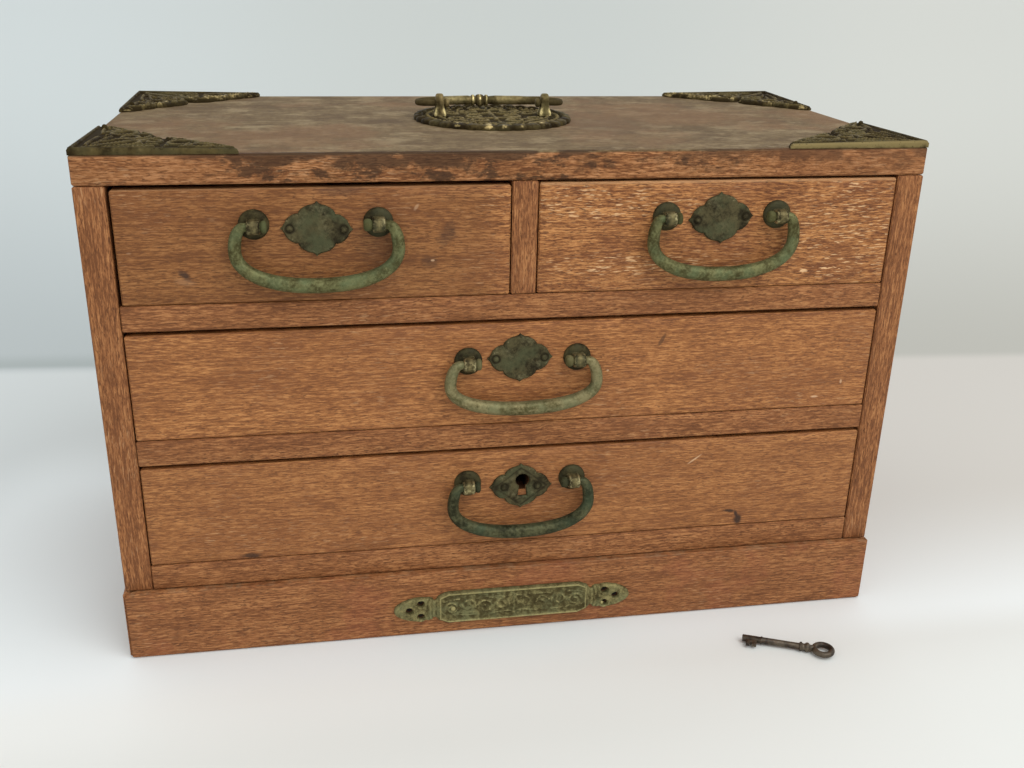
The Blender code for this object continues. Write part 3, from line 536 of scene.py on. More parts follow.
# Drawer plates
# Thin cast plates shaped as lobed diamonds, gone dark, each held by two domed nails. The bottom
# drawer's has its nails closer together and a keyhole between them.
def patina(name, pit, ground, crest, bright, green, scale=1.0, metallic=0.45, sheen=0.44, mottle=0.5):
    """Old cast brass: dark in its pits, paler on its crests, and bright where it is rubbed bare and where a
    highlight is painted.
    """
    material, any_node = new_material(name)
    place = any_node.node("TexCoord", output="Object")
    relief = any_node.node("Attribute", {"attribute_name": "relief"}, output="Fac")
    wear_and_highlight = any_node.node("Attribute", {"attribute_name": "wear_and_highlight"}, output="Fac")
    cloud = place.noise(120 * scale, 4, 0.62)
    speck = place.noise(700 * scale, 3, 0.6)
    pitted = place.noise(1500 * scale, 2, 0.5)
    # The wear attribute also carries painted highlights, which brighten the brass as bare wear does.
    bare = (wear_and_highlight + (speck - 0.5) * 0.7 + (cloud - 0.5) * 0.6).between(0.50, 0.85)
    raised = relief.between(0.12, 0.45)
    shade = (cloud * 0.7 + speck * 0.3).between(0.38, 0.62).mix(colour(*pit), colour(*ground))
    shade = coated(
        shade,
        (place.noise(75 * scale, 3, 0.6).between(0.42, 0.66) * 0.8, green),
        (relief.between(0.40, 0.05) * 0.85, pit),
        ((relief + (speck - 0.5) * mottle).between(0.45, 0.95) * 0.85, crest),
        (bare, bright),
        (pitted.between(0.62, 0.70) * 0.6, pit))
    looks = {"Base Color": shade, "Metallic": raised * metallic + bare * 0.4, "Specular IOR Level": 0.05,
             "Roughness": speck * 0.22 + sheen - bare * 0.14 + (1 - raised) * 0.3}
    return dress(material, looks, cloud * 0.5 + speck + pitted * 0.4, 0.5, 0.0002)


def evenly(loop, cell):
    """A closed loop with points added, so that none of its steps is longer than a cell."""
    points = []
    for start, end in zip(loop, [*loop[1:], loop[0]]):
        start, end = np.array(start), np.array(end)
        count = max(1, math.ceil(np.linalg.norm(end - start) / cell))
        points += [start + (end - start) * i / count for i in range(count)]
    return points


def within(places, loop):
    """Which places lie inside a closed loop."""
    start, end = np.array(loop), np.roll(loop, -1, axis=0)
    x, y = places[:, :1], places[:, 1:]
    spans = (start[:, 1] > y) != (end[:, 1] > y)
    rise = end[:, 1] - start[:, 1]
    crossing = start[:, 0] + (y - start[:, 1]) * (end - start)[:, 0] / np.where(rise == 0, 1, rise)
    return (spans & (x < crossing)).sum(1) % 2 == 1


def cast_plate(outline, holes, surface, cell=0.0005, round_over=0.0006):
    """A flat-backed casting with upright walls. Its surface gives height, relief, and wear with painted
    highlights, by place.
    """
    loops = [evenly(loop, cell) for loop in (outline, *holes)]
    edges, start = [], 0
    for loop in loops:
        edges += [(start + i, start + (i + 1) % len(loop)) for i in range(len(loop))]
        start += len(loop)
    rim = np.concatenate(loops)
    nearest = kdtree.KDTree(len(rim))
    for i, (x, y) in enumerate(rim):
        nearest.insert((x, y, 0), i)
    nearest.balance()
    low, high = rim.min(0), rim.max(0)
    filling = []
    for row, y in enumerate(np.arange(low[1], high[1], cell * math.sqrt(0.75))):
        for x in np.arange(low[0] + cell / 2 * (row % 2), high[0], cell):
            if nearest.find((x, y, 0))[2] > cell * 0.6:
                filling.append((x, y))
    flat, _, faces, *_ = delaunay_2d_cdt([Vector(point) for point in (*rim, *filling)], edges, [], 2, 1e-7)
    faces, flat = np.array(faces), np.array([place[:] for place in flat])
    middles = flat[faces].mean(1)
    for hole in loops[1:]:
        faces, middles = [kept[~within(middles, hole)] for kept in (faces, middles)]
    used, faces = np.unique(faces, return_inverse=True)
    flat, faces = flat[used], faces.reshape(-1, 3)
    inset = np.array([nearest.find((x, y, 0))[2] for x, y in flat])
    height, relief, wear_and_highlight = surface(flat)
    fall = np.clip(1 - inset / round_over, 0, 1)
    height = height - round_over * (1 - np.sqrt(1 - fall ** 2))
    count = len(flat)
    top = np.column_stack([flat, height])
    base = np.column_stack([flat, np.zeros(count)])
    directed = {(a, b) for face in faces.tolist() for a, b in zip(face, face[1:] + face[:1])}
    walls = [[b, a, a + count, b + count] for a, b in sorted(directed) if (b, a) not in directed]
    faces = faces.tolist() + (faces[:, ::-1] + count).tolist() + walls
    relief, wear_and_highlight = np.concatenate([relief, relief * 0.6]), np.concatenate([wear_and_highlight, wear_and_highlight * 0.35])
    return np.concatenate([top, base]), faces, relief, wear_and_highlight


def ring_faces(rings, sides, closed=False):
    """Quads between rings of as many points, and from the last to the first where they close."""
    total = rings * sides
    return [[a + i, a + (i + 1) % sides, (a + sides + (i + 1) % sides) % total, (a + sides + i) % total]
            for a in range(0, total if closed else total - sides, sides) for i in range(sides)]


def domed_faces(rings, sides):
    """The faces of a stack of rings that ends in one last point, with a flat face beneath it."""
    last = (rings - 1) * sides
    fan = [[last + i, last + (i + 1) % sides, last + sides] for i in range(sides)]
    return [*ring_faces(rings, sides), *fan, list(range(sides))[::-1]]


def dome(x, y, base, radius, rise, relief=0.7, wear_and_highlight=0.4, steps=24):
    """A domed nail head on its place, with a short upright edge under it."""
    shares = [(1.0, -0.8), (1.0, 0.0), (0.98, 0.18), (0.90, 0.42), (0.74, 0.68), (0.5, 0.88), (0.24, 0.97)]
    turns = np.arange(steps) * math.tau / steps
    rings = [np.column_stack([x + radius * out * np.cos(turns), y + radius * out * np.sin(turns),
                              np.full(steps, base + rise * up)]) for out, up in shares]
    places = np.concatenate([*rings, [(x, y, base + rise)]])
    return places, domed_faces(len(rings), steps), np.full(len(places), relief), np.full(len(places), wear_and_highlight)


def laid(shell, matrix):
    """The shell moved by a matrix; a mirrored one has its faces turned back outward."""
    places, faces, relief, wear_and_highlight = shell
    turned = np.array(matrix.to_3x3())
    if np.linalg.det(turned) < 0:
        faces = [face[::-1] for face in faces]
    return places @ turned.T + np.array(matrix.translation), faces, relief, wear_and_highlight


def casting(*shells):
    """One mesh of several shells, with the relief, and the wear and painted highlights, that their finish is
    laid by.
    """
    places, faces = [], []
    for shell in shells:
        start = sum(len(part) for part in places)
        places.append(shell[0])
        faces += [[corner + start for corner in face] for face in shell[1]]
    mesh = bpy.data.meshes.new("casting")
    mesh.from_pydata(np.concatenate(places).tolist(), [], faces)
    for name, column in (("relief", 2), ("wear_and_highlight", 3)):
        values = np.concatenate([shell[column] for shell in shells])
        mesh.attributes.new(name, "FLOAT", "POINT").data.foreach_set("value", values)
    return mesh


def add_cast(node, shells, finish, body, place=None, crease=40):
    """A cast piece of a few shells, moved to its place where one is given."""
    if place is not None:
        shells = [laid(shell, place) for shell in shells]
    add_piece(node + "_cast", casting(*shells), finish, body, node, crease)


def on_front(x, y, z):
    """Stands a flat shell up on a front face, so that its own Z comes forward."""
    return Matrix.Translation((x, y, z)) @ Matrix.Rotation(math.pi / 2, 4, "X")


def hammered(places, seed, coarse=180, fine=700):
    """Uneven levels over a casting's face, about 0."""
    spots = [Vector((x, y, seed)) for x, y in places]
    return np.array([noise.noise(spot * coarse) + 0.5 * noise.noise(spot * fine) for spot in spots])


plate_brass = patina("plate_brass", (44, 39, 27), (88, 81, 56), (118, 112, 84), (178, 166, 126), (80, 82, 58),
                     scale=1.4, metallic=0.35)
plate_width, plate_height, plate_thickness = 0.027, 0.021, 0.0013
plate_nail_radius, plate_nail_rise, plate_nails, keyed_nails = 0.0012, 0.0010, 0.020, 0.0142
plate_hole_foot, plate_hole_drop = 0.0040, 0.0072
quarter_shares = [(0, 1.0), (0.05, 0.93), (0.12, 0.885), (0.24, 0.845), (0.36, 0.775), (0.45, 0.685),
                  (0.50, 0.59), (0.515, 0.53), (0.56, 0.535), (0.66, 0.50), (0.76, 0.415), (0.84, 0.31),
                  (0.885, 0.18), (0.94, 0.07)]
quarter = [(plate_width / 2 * x, plate_height / 2 * y) for x, y in quarter_shares]
half = [*quarter, (plate_width / 2, 0), *[(x, -y) for x, y in reversed(quarter)]]
diamond = [(-x, y) for x, y in half[1:-1]] + half[::-1]


def plate_surface(places, seed, spacing, incised):
    """Uneven and rimmed, sunk about its nails, with one incised line on the keyed plate."""
    rough = hammered(places, seed)
    edge = 1 - (np.abs(places[:, 0]) / plate_width + np.abs(places[:, 1]) / plate_height) * 2
    rim = np.clip(1 - edge / 0.22, 0, 1)
    to_nail = np.hypot(np.abs(places[:, 0]) - spacing / 2, places[:, 1])
    recess = np.clip(1.4 - np.abs(to_nail - plate_nail_radius) / 0.0008, 0, 1)
    line = np.exp(-((edge - 0.17) / 0.05) ** 2) * incised
    height = plate_thickness + 0.00007 * rough - 0.0003 * recess - 0.0002 * line
    return height, 0.45 + 0.3 * rough - 0.6 * recess - 0.4 * line, 0.1 + 0.32 * rim * (1 - recess)


plate_tilts = {"drawer_small_left": math.radians(-2.0), "drawer_small_right": math.radians(3.5)}
for seed, drawer in enumerate(drawer_names):
    low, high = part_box(drawer + "_plate")
    holes, spacing = [], plate_nails
    if drawer == keyed:
        slot = keyhole(hole_radius, hole_neck, plate_hole_foot, plate_hole_drop)
        holes, spacing = [[(x + keyhole_shift, y + keyhole_rise) for x, y in slot]], keyed_nails
    surface = lambda places: plate_surface(places, seed, spacing, drawer == keyed)
    shells = [cast_plate(diamond, holes, surface)]
    for side in (-1, 1):
        x = side * spacing / 2
        shells.append(dome(x, 0, plate_thickness, plate_nail_radius, plate_nail_rise, 0.35, 0.30))
    stand = on_front((low.x + high.x) / 2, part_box(drawer + "_front")[0].y, (low.z + high.z) / 2)
    stand = stand @ Matrix.Rotation(plate_tilts.get(drawer, 0), 4, "Z")
    add_cast(drawer + "_plate", shells, plate_brass, drawer, stand)


# Drawer pulls
# Each pull is a thick cast brass bail, gone green, that swings in the rolled eyes of two domed
# posts. The posts' shanks pass through the drawer's front and are bent over inside.
def bar(stations, flat, sides=28, lumps=0.03, closed=False):
    """A round bar through stations of place and radius; the flat vector is square to their plane."""
    places = np.array([station[:3] for station in stations])
    radii = [station[3] for station in stations]
    flat = np.array(flat, float)
    if closed:
        along = np.roll(places, -1, axis=0) - np.roll(places, 1, axis=0)
    else:
        along = np.gradient(places, axis=0)
    along /= np.linalg.norm(along, axis=1)[:, None]
    across = np.cross(along, flat)
    for i in reversed(range(len(across) - 1)):
        if across[i] @ across[i + 1] < 0:
            across[i] *= -1
    turns = np.arange(sides) * math.tau / sides
    rings = []
    for place, radius, side in zip(places, radii, across):
        ring = radius * (np.outer(np.cos(turns), side) + np.outer(np.sin(turns), flat))
        swell = [1 + lumps * noise.noise(Vector(place + spoke) * 260) for spoke in ring]
        rings.append(place + ring * np.array(swell)[:, None])
    count = len(stations)
    faces = ring_faces(count, sides, closed)
    if not closed:
        rings += [places[:1], places[-1:]]
        top = (count - 1) * sides
        for side in range(sides):
            faces.append([(side + 1) % sides, side, count * sides])
            faces.append([top + side, top + (side + 1) % sides, count * sides + 1])
    places = np.concatenate(rings)
    return places, faces, np.full(len(places), 0.5), np.zeros(len(places))


def half_bail(lug_inside, lug_outside, side, drop, shoulder, head, radii):
    """Stations of across, drop and radius, from the head inside one lug round to the grip's middle."""
    head_length, head_radius = head
    end_radius, side_radius, grip_radius = radii
    head_shares = [(1.0, 0.28), (0.97, 0.58), (0.88, 0.82), (0.72, 0.96), (0.5, 1.0), (0.28, 0.97),
                   (0.10, 0.86)]
    stations = [(lug_inside - head_length * back, 0, head_radius * wide) for back, wide in head_shares]
    stations += [(lug_inside, 0, end_radius), ((lug_inside + lug_outside) / 2, 0, end_radius)]
    bends, sweeps, fullness = 12, 44, 2.25
    for i in range(bends):
        turn = math.pi / 2 * (1 - i / bends)
        x = lug_outside + (side - lug_outside) * math.cos(turn)
        radius = end_radius + (side_radius - end_radius) * math.cos(turn)
        stations.append((x, shoulder * (1 - math.sin(turn)), radius))
    for i in range(sweeps + 1):
        turn = math.pi / 2 * i / sweeps
        x = side * math.cos(turn) ** (2 / fullness)
        fall = shoulder + (drop - shoulder) * math.sin(turn) ** (2 / fullness)
        radius = side_radius + (grip_radius - side_radius) * math.sin(turn) ** 2
        stations.append((x, fall, radius))
    return stations


def rolled_eye(reach, width, radius, soft=0.0006):
    """The rolled eye of a post, standing on the boss and curled round the bail's end."""
    profile = []
    for i in range(25):
        turn = math.radians(-25 + 230 * i / 24)
        profile.append((radius * math.cos(turn), reach + radius * math.sin(turn)))
    profile = [(radius * 0.94, 0.0008), *profile, (-radius * 0.94, 0.0008)]
    shares = [(-1.0, 1.0), (-0.95, 0.55), (-0.86, 0.18), (-0.74, 0.0), (0.0, 0.0), (0.74, 0.0),
              (0.86, 0.18), (0.95, 0.55), (1.0, 1.0)]
    middle, count = reach * 0.6, len(profile)
    places = []
    for along, sunk in shares:
        for y, z in profile:
            out = Vector((y, z - middle))
            out *= 1 - soft * sunk / out.length
            places.append((width / 2 * along, out.x, out.y + middle))
    last = (len(shares) - 1) * count
    faces = [*ring_faces(len(shares), count), list(range(count))[::-1], list(range(last, last + count))]
    faces = [face[::-1] for face in faces]
    places = np.array(places)
    edge = np.abs(places[:, 0]) / width * 2
    return places, faces, 0.75 - 0.25 * edge, 0.38 + 0.25 * edge


small_bail = patina("bail_green", (66, 62, 36), (110, 109, 72), (146, 147, 108), (188, 182, 138),
                    (95, 104, 72), scale=1.3, metallic=0.3, sheen=0.32)
middle_bail = patina("bail_olive", (76, 70, 42), (130, 121, 86), (164, 156, 120), (196, 188, 144),
                     (114, 114, 82), scale=1.3, metallic=0.3, sheen=0.32)
bottom_bail = patina("bail_dark_green", (42, 42, 28), (86, 85, 59), (118, 120, 92), (172, 172, 132),
                     (62, 72, 53), metallic=0.35, sheen=0.30)
bail_finishes = dict(zip(drawer_names, (small_bail, small_bail, middle_bail, bottom_bail)))
post_brass = patina("post_brass", (38, 33, 22), (77, 70, 45), (134, 122, 84), (192, 180, 134), (64, 64, 46),
                    scale=1.1, sheen=0.34)
joints = {joint["name"]: joint for joint in frame["joints"]}
boss_radius, boss_edge, boss_rise, boss_sides = 0.0057, 0.0008, 0.0018, 44
eye_width, eye_radius, eye_gap, bail_straight = 0.0048, 0.0029, 0.0003, 0.0010
left_head, right_head = (0.0022, 0.0024), (0.0031, 0.0024)
bail_radii, bail_shoulder = (0.0017, 0.0024, 0.0029), 0.0088
for drawer in drawer_names:
    pivot = Vector(joints[drawer + "_bail_swing"]["pos_m"])
    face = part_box(drawer + "_front")[0].y
    ends = []
    for word in ("_post_left", "_post_right"):
        low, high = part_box(drawer + word)
        ends.append((low.x + high.x) / 2)
        boss = dome(0, 0, boss_edge, boss_radius, boss_rise, 0.35, 0.12, boss_sides)
        eye = rolled_eye(face - pivot.y, eye_width, eye_radius)
        stand = on_front(ends[-1], face, pivot.z)
        add_cast(drawer + word, (boss, eye), post_brass, drawer, stand)
    low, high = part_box(drawer + "_bail")
    half_spacing, half_eye = (ends[1] - ends[0]) / 2, eye_width / 2
    inside, outside = half_spacing - half_eye - eye_gap, half_spacing + half_eye + bail_straight
    side, drop = (high.x - low.x) / 2 - bail_radii[1], pivot.z - low.z - bail_radii[2]
    left, right = [half_bail(inside, outside, side, drop, bail_shoulder, head, bail_radii)
                   for head in (left_head, right_head)]
    path = right[:-1] + [(0, drop, bail_radii[2])] + [(-x, fall, radius) for x, fall, radius in left[-2::-1]]
    stations = [(pivot.x + x, pivot.y, pivot.z - fall, radius) for x, fall, radius in path]
    places, faces, relief, wear_and_highlight = bar(stations, (0, 1, 0))
    tarnished = np.clip((half_spacing + half_eye - np.abs(places[:, 0] - pivot.x)) / 0.002, 0, 1)
    tarnished *= np.clip((places[:, 2] - pivot.z + 0.0045) / 0.001, 0, 1)
    shell = (places, faces, relief - 0.3 * tarnished, wear_and_highlight + 0.15 * tarnished)
    add_cast(drawer + "_bail", [shell], bail_finishes[drawer], drawer + "_bail", crease=60)


# Corner plates
# Four cast triangular plates on the top's corners, pierced and chased with scrolling leaves. Each
# has a raised rim along the chest's edges and a standing nail near its side end.
def spiral(x, y, start, end, turn, sweep, steps=26):
    """A scroll about a middle, from one radius to another, starting at one angle and winding on."""
    shares = [i / steps for i in range(steps + 1)]
    angles = [math.radians(turn + sweep * share) for share in shares]
    radii = [start + (end - start) * share for share in shares]
    return [(x + radius * math.cos(angle), y + radius * math.sin(angle))
            for radius, angle in zip(radii, angles)]


def bend(*knots, steps=6):
    """A smooth line through a few points."""
    points = []
    knots = [Vector(knot) for knot in knots]
    padded = [2 * knots[0] - knots[1], *knots, 2 * knots[-1] - knots[-2]]
    for a, b, c, d in zip(padded, padded[1:], padded[2:], padded[3:]):
        for i in range(steps):
            t = i / steps
            points.append(0.5 * (2 * b + (c - a) * t + (2 * a - 5 * b + 4 * c - d) * t * t
                                 + (3 * b - a - 3 * c + d) * t ** 3))
    return [tuple(point) for point in (*points, knots[-1])]


def chased(places, strokes, notch=0.0, leaf=1.5, scale=0.001):
    """How high each place lies on the strokes: 1 along a stroke's line, falling to 0 at its sides.
    A notch cuts the stroke across, once in each leaf's length."""
    crest = np.zeros(len(places))
    for points, width, taper in strokes:
        line = np.array(points) * scale
        start, run = line[:-1], np.diff(line, axis=0)
        offset = places[:, None] - start
        share = np.clip((offset * run).sum(-1) / (run * run).sum(-1), 0, 1)
        gap = np.linalg.norm(offset - share[..., None] * run, axis=-1)
        along = (np.arange(len(run)) + share) / len(run)
        half_width = width / 2 * scale * (1 - taper * along)
        length = np.linalg.norm(run, axis=1).sum()
        leaves = 0.5 + 0.5 * np.cos(math.tau * (along * length + gap * 0.8) / (leaf * scale))
        ridge = np.sqrt(np.clip(1 - (gap / half_width) ** 2, 0, 1)) * (1 - notch * leaves)
        crest = np.maximum(crest, ridge.max(1))
    return crest


def scalloped(anchors, bulge, steps=7):
    """Arcs between anchor points, each standing out to the right of its way."""
    points = []
    for (ax, ay), (bx, by) in zip(anchors, anchors[1:]):
        wide, tall = bx - ax, by - ay
        for i in range(steps):
            share = i / steps
            out = bulge * 4 * share * (1 - share)
            points.append((ax + wide * share + tall * out, ay + tall * share - wide * out))
    return [*points, anchors[-1]]


def oval(x, y, long, short, tilt=0.0, steps=14):
    """A slanting oval hole, in millimetres, wound clockwise."""
    tilt = math.radians(tilt)
    points = []
    for i in range(steps):
        turn = -math.tau * i / steps
        u, v = long * math.cos(turn), short * math.sin(turn)
        points.append(((x + u * math.cos(tilt) - v * math.sin(tilt)) / 1000,
                       (y + u * math.sin(tilt) + v * math.cos(tilt)) / 1000))
    return points


def strokes_of(spirals, bends):
    """Strokes of points, width and taper, from spirals, and from widths, tapers and knots."""
    strokes = [(spiral(*shape), width, taper) for *shape, width, taper in spirals]
    return strokes + [(bend(*knots), width, taper) for width, taper, *knots in bends]


def doubled(strokes, flip):
    """The strokes, and the same ones flipped over a line."""
    return strokes + [([flip(x, y) for x, y in points], width, taper) for points, width, taper in strokes]


corner_leg, corner_rim, corner_rim_height, corner_field = 59.0, 1.5, 0.0028, 0.0015
chased_rise, cast_roughness = 0.0010, 0.00007
lobe_anchors = [(corner_leg - 0.4, 2.4), (51.6, 9.4), (44.5, 14.5), (38.9, 21.8), (33.6, 26.0), (28.0, 26.2)]
lobe_edge = scalloped(lobe_anchors, 0.14) + [(24.6, 24.4), (22.6, 21.2)]
side_edge = [(y, x) for x, y in reversed(lobe_edge)]
corner_outline = [(0, 0), (corner_leg, 0), *lobe_edge, (21.3, 21.3), *side_edge, (0, corner_leg)]
corner_outline = [(x / 1000, y / 1000) for x, y in corner_outline]
leg_spirals = [(37.5, 13.2, 6.4, 3.3, -70, 420, 2.1, 0.25), (27.0, 17.0, 5.0, 1.4, 215, -430, 1.9, 0.3)]
leg_bends = [
    (2.0, 0.5, (42.5, 18.0), (46.0, 13.0), (51.5, 9.0), (55.0, 4.5)),
    (1.7, 0.5, (43.5, 11.5), (48.0, 8.8), (52.5, 5.6), (57.0, 3.2)),
    (1.5, 0.4, (38.0, 6.0), (43.5, 4.9), (49.0, 4.6), (54.0, 3.2)),
    (1.8, 0.4, (33.0, 8.4), (27.0, 5.6), (19.0, 4.6), (11.0, 4.2)),
    (1.7, 0.5, (22.4, 13.6), (17.5, 8.8), (11.0, 6.4)), (1.4, 0.5, (29.5, 10.6), (24.0, 9.2), (19.0, 8.0)),
    (1.9, 0.4, (34.0, 20.2), (34.4, 23.6), (31.2, 25.0)),
    (1.7, 0.3, (28.6, 24.6), (25.4, 23.0), (22.6, 19.6)),
    (1.3, 0.4, (38.8, 20.6), (36.4, 22.4), (33.4, 21.4)),
    (1.3, 0.5, (47.6, 12.6), (44.6, 15.0), (41.4, 15.6))]
middle_stem = (bend((21.6, 19.8), (17.0, 17.0), (11.0, 11.0), (4.5, 4.5)), 2.2, 0.2)
corner_strokes = [*doubled(strokes_of(leg_spirals, leg_bends), lambda x, y: (y, x)), middle_stem]
leg_holes = [(37.5, 13.2, 1.9, 1.7, 0), (31.6, 20.6, 1.5, 0.7, 70), (46.6, 11.2, 1.5, 0.6, -38),
             (30.6, 7.2, 1.7, 0.6, 24), (43.6, 7.6, 1.4, 0.6, -12), (20.6, 10.4, 1.5, 0.6, 50),
             (50.6, 6.6, 1.1, 0.45, -32), (14.2, 6.0, 1.2, 0.5, 14)]
corner_holes = [oval(*hole) for hole in leg_holes]
corner_holes += [oval(y, x, long, short, 90 - tilt) for x, y, long, short, tilt in leg_holes]
corner_wear = {"front_left": 0.0, "front_right": 0.04, "back_left": 0.10, "back_right": 0.10}
# Each plate's front bead level; the front-right one is raised to a painted highlight.
corner_beads = {"front_left": 0.45, "front_right": 1.10, "back_left": 0.55, "back_right": 0.60}
nail_x, nail_y, nail_radius, nail_rise = 0.0045, 0.0500, 0.0011, 0.0012


def corner_surface(places, corner):
    """Chased leaves within a raised rim, with a painted highlight on the front-right plate's bead and painted
    highlights in patches on the back plates' lobes.
    """
    crest = chased(places, corner_strokes, 0.28)
    x, y = places[:, 0] * 1000, places[:, 1] * 1000
    on_rim = np.clip((corner_rim - np.minimum(x, y)) / 0.5, 0, 1)
    rough = hammered(places, 7.0, 300, 900)
    height = corner_field + chased_rise * crest + cast_roughness * rough
    rim_height = corner_rim_height - 0.0009 * np.maximum(x, y) / corner_leg
    height = height + (rim_height - height) * on_rim
    lobe = np.clip((x + y - 42) / 12, 0, 1) * (1 - on_rim)
    front_rim = np.clip((corner_rim - y) / 0.5, 0, 1)
    bead = 0.5 + (corner_beads[corner] - 0.5) * front_rim + 0.35 * rough
    relief = np.clip(0.08 + 0.72 * crest + 0.12 * rough, 0, 1) * (1 - on_rim) + bead * on_rim
    flecks = np.clip((crest + 0.3 * rough - 0.85) * 2.6, 0, 1) * (1 - on_rim)
    patches = np.clip((hammered(places, 23.0, 80, 200) + 0.25) * 1.6, 0, 1)
    # Painted highlights in patches on the back plates' lobes, over the wear on the crests' flecks.
    wear_and_highlight = corner_wear[corner] + 0.36 * flecks + 0.46 * lobe * patches * corner.startswith("back")
    return height, relief, wear_and_highlight


chased_brass = patina("chased_brass", (38, 29, 14), (86, 74, 44), (128, 113, 74), (200, 178, 122),
                      (76, 69, 44), scale=0.8, metallic=0.25, sheen=0.40, mottle=0.2)
nail = dome(nail_x, nail_y, corner_field + 0.0009, nail_radius, nail_rise, 0.2, 0.0)
for corner in corner_wear:
    low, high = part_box("corner_plate_" + corner)
    across, back = 1 if corner.endswith("right") else -1, 1 if corner.startswith("back") else -1
    surface = lambda places: corner_surface(places, corner)
    plate = cast_plate(corner_outline, corner_holes, surface, round_over=0.0009)
    place = Matrix.Translation((low.x if across < 0 else high.x, low.y if back < 0 else high.y, cad_top))
    place = place @ Matrix.Diagonal((-across, -back, 1, 1))
    add_cast("corner_plate_" + corner, (plate, nail), chased_brass, "carcass", place, 50)


# Medallion
# A round cast plate in the middle of the top, pierced with scrolls inside a beaded ring, with a
# rim of small drooping leaves. A few leaves at its front carry painted highlights.
medallion_low, medallion_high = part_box("top_medallion")
medallion_radius = (medallion_high.x - medallion_low.x) / 2
ear_spots = [sum(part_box(node), Vector()).x / 2 for node in ("handle_ear_left", "handle_ear_right")]
leaves, leaf_depth, leaf_steps, bead_ring, beads = 32, 0.0008, 9, 29.3, 60
# Angles and strengths of the painted highlights on the front leaves.
bright_leaves = [(-123.8, 1.0), (-101.2, 0.85), (-90.0, 0.7), (-78.8, 0.6), (-60.0, 1.0)]
half_spirals = [(8.2, -2.0, 4.6, 2.0, 250, 400, 1.9, 0.2), (7.0, -14.6, 4.8, 2.0, 100, -400, 1.9, 0.2),
                (17.0, -9.6, 5.0, 2.0, 200, 400, 1.9, 0.2), (17.4, 6.2, 5.0, 2.0, 160, -400, 1.9, 0.2),
                (8.6, 12.6, 4.6, 1.9, 290, 400, 1.9, 0.2), (5.0, 22.8, 3.6, 1.5, 250, 400, 1.7, 0.2)]
half_bends = [
    (1.9, 0.3, (0.6, -26.5), (6.0, -23.6), (12.0, -20.0), (16.0, -15.2)),
    (1.8, 0.5, (12.6, -24.6), (18.0, -20.0), (22.6, -14.0)),
    (1.9, 0.3, (22.4, -10.0), (24.6, -3.0), (23.4, 3.6)),
    (1.9, 0.4, (23.4, 6.0), (22.0, 13.0), (16.6, 18.0)),
    (1.8, 0.4, (14.0, 13.6), (13.4, 19.0), (10.6, 24.4)),
    (1.6, 0.3, (1.0, 8.0), (5.4, 5.4), (11.6, 4.0)),
    (1.5, 0.4, (0.8, 17.0), (3.0, 18.6), (8.0, 18.0)),
    (1.6, 0.3, (1.0, -8.0), (4.6, -8.2), (11.6, -6.6))]
stems = [(bend((0, low), (0.5, (low + high) / 2), (0, high)), 2.4, 0.6)
         for low, high in ((-28, -18), (-12, -4), (6, -2), (9, 16), (28, 20))]
medallion_strokes = doubled(strokes_of(half_spirals, half_bends), lambda x, y: (-x, y)) + stems
half_holes = [(8.2, -2.0, 1.5, 1.3, 0), (7.0, -14.6, 1.6, 1.4, 0), (17.0, -9.6, 1.6, 1.4, 0),
              (17.4, 6.2, 1.6, 1.3, 0), (8.6, 12.6, 1.4, 1.3, 0), (3.4, -20.6, 2.3, 0.8, -32),
              (12.4, -16.2, 1.9, 0.8, 55), (4.0, 3.0, 1.8, 0.7, -20), (12.6, 9.4, 1.8, 0.7, 50),
              (2.2, 20.4, 1.7, 0.6, 60), (21.0, -3.0, 2.0, 0.7, 80), (10.2, 17.2, 1.5, 0.7, 80),
              (5.0, 22.8, 1.0, 0.9, 0), (3.6, -5.4, 1.5, 0.6, 10), (12.8, -1.6, 1.4, 0.6, 80),
              (3.2, 12.8, 1.7, 0.6, 70), (9.0, -21.0, 1.5, 0.7, -30)]
medallion_holes = [oval(*hole) for hole in half_holes]
medallion_holes += [oval(-x, y, long, short, 180 - tilt) for x, y, long, short, tilt in half_holes]
medallion_outline = []
for i in range(leaves * leaf_steps):
    turn = math.tau * i / (leaves * leaf_steps)
    radius = medallion_radius - leaf_depth * (1 - abs(math.cos(leaves * (turn + math.pi / 2) / 2)) ** 0.8)
    medallion_outline.append((radius * math.cos(turn), radius * math.sin(turn)))


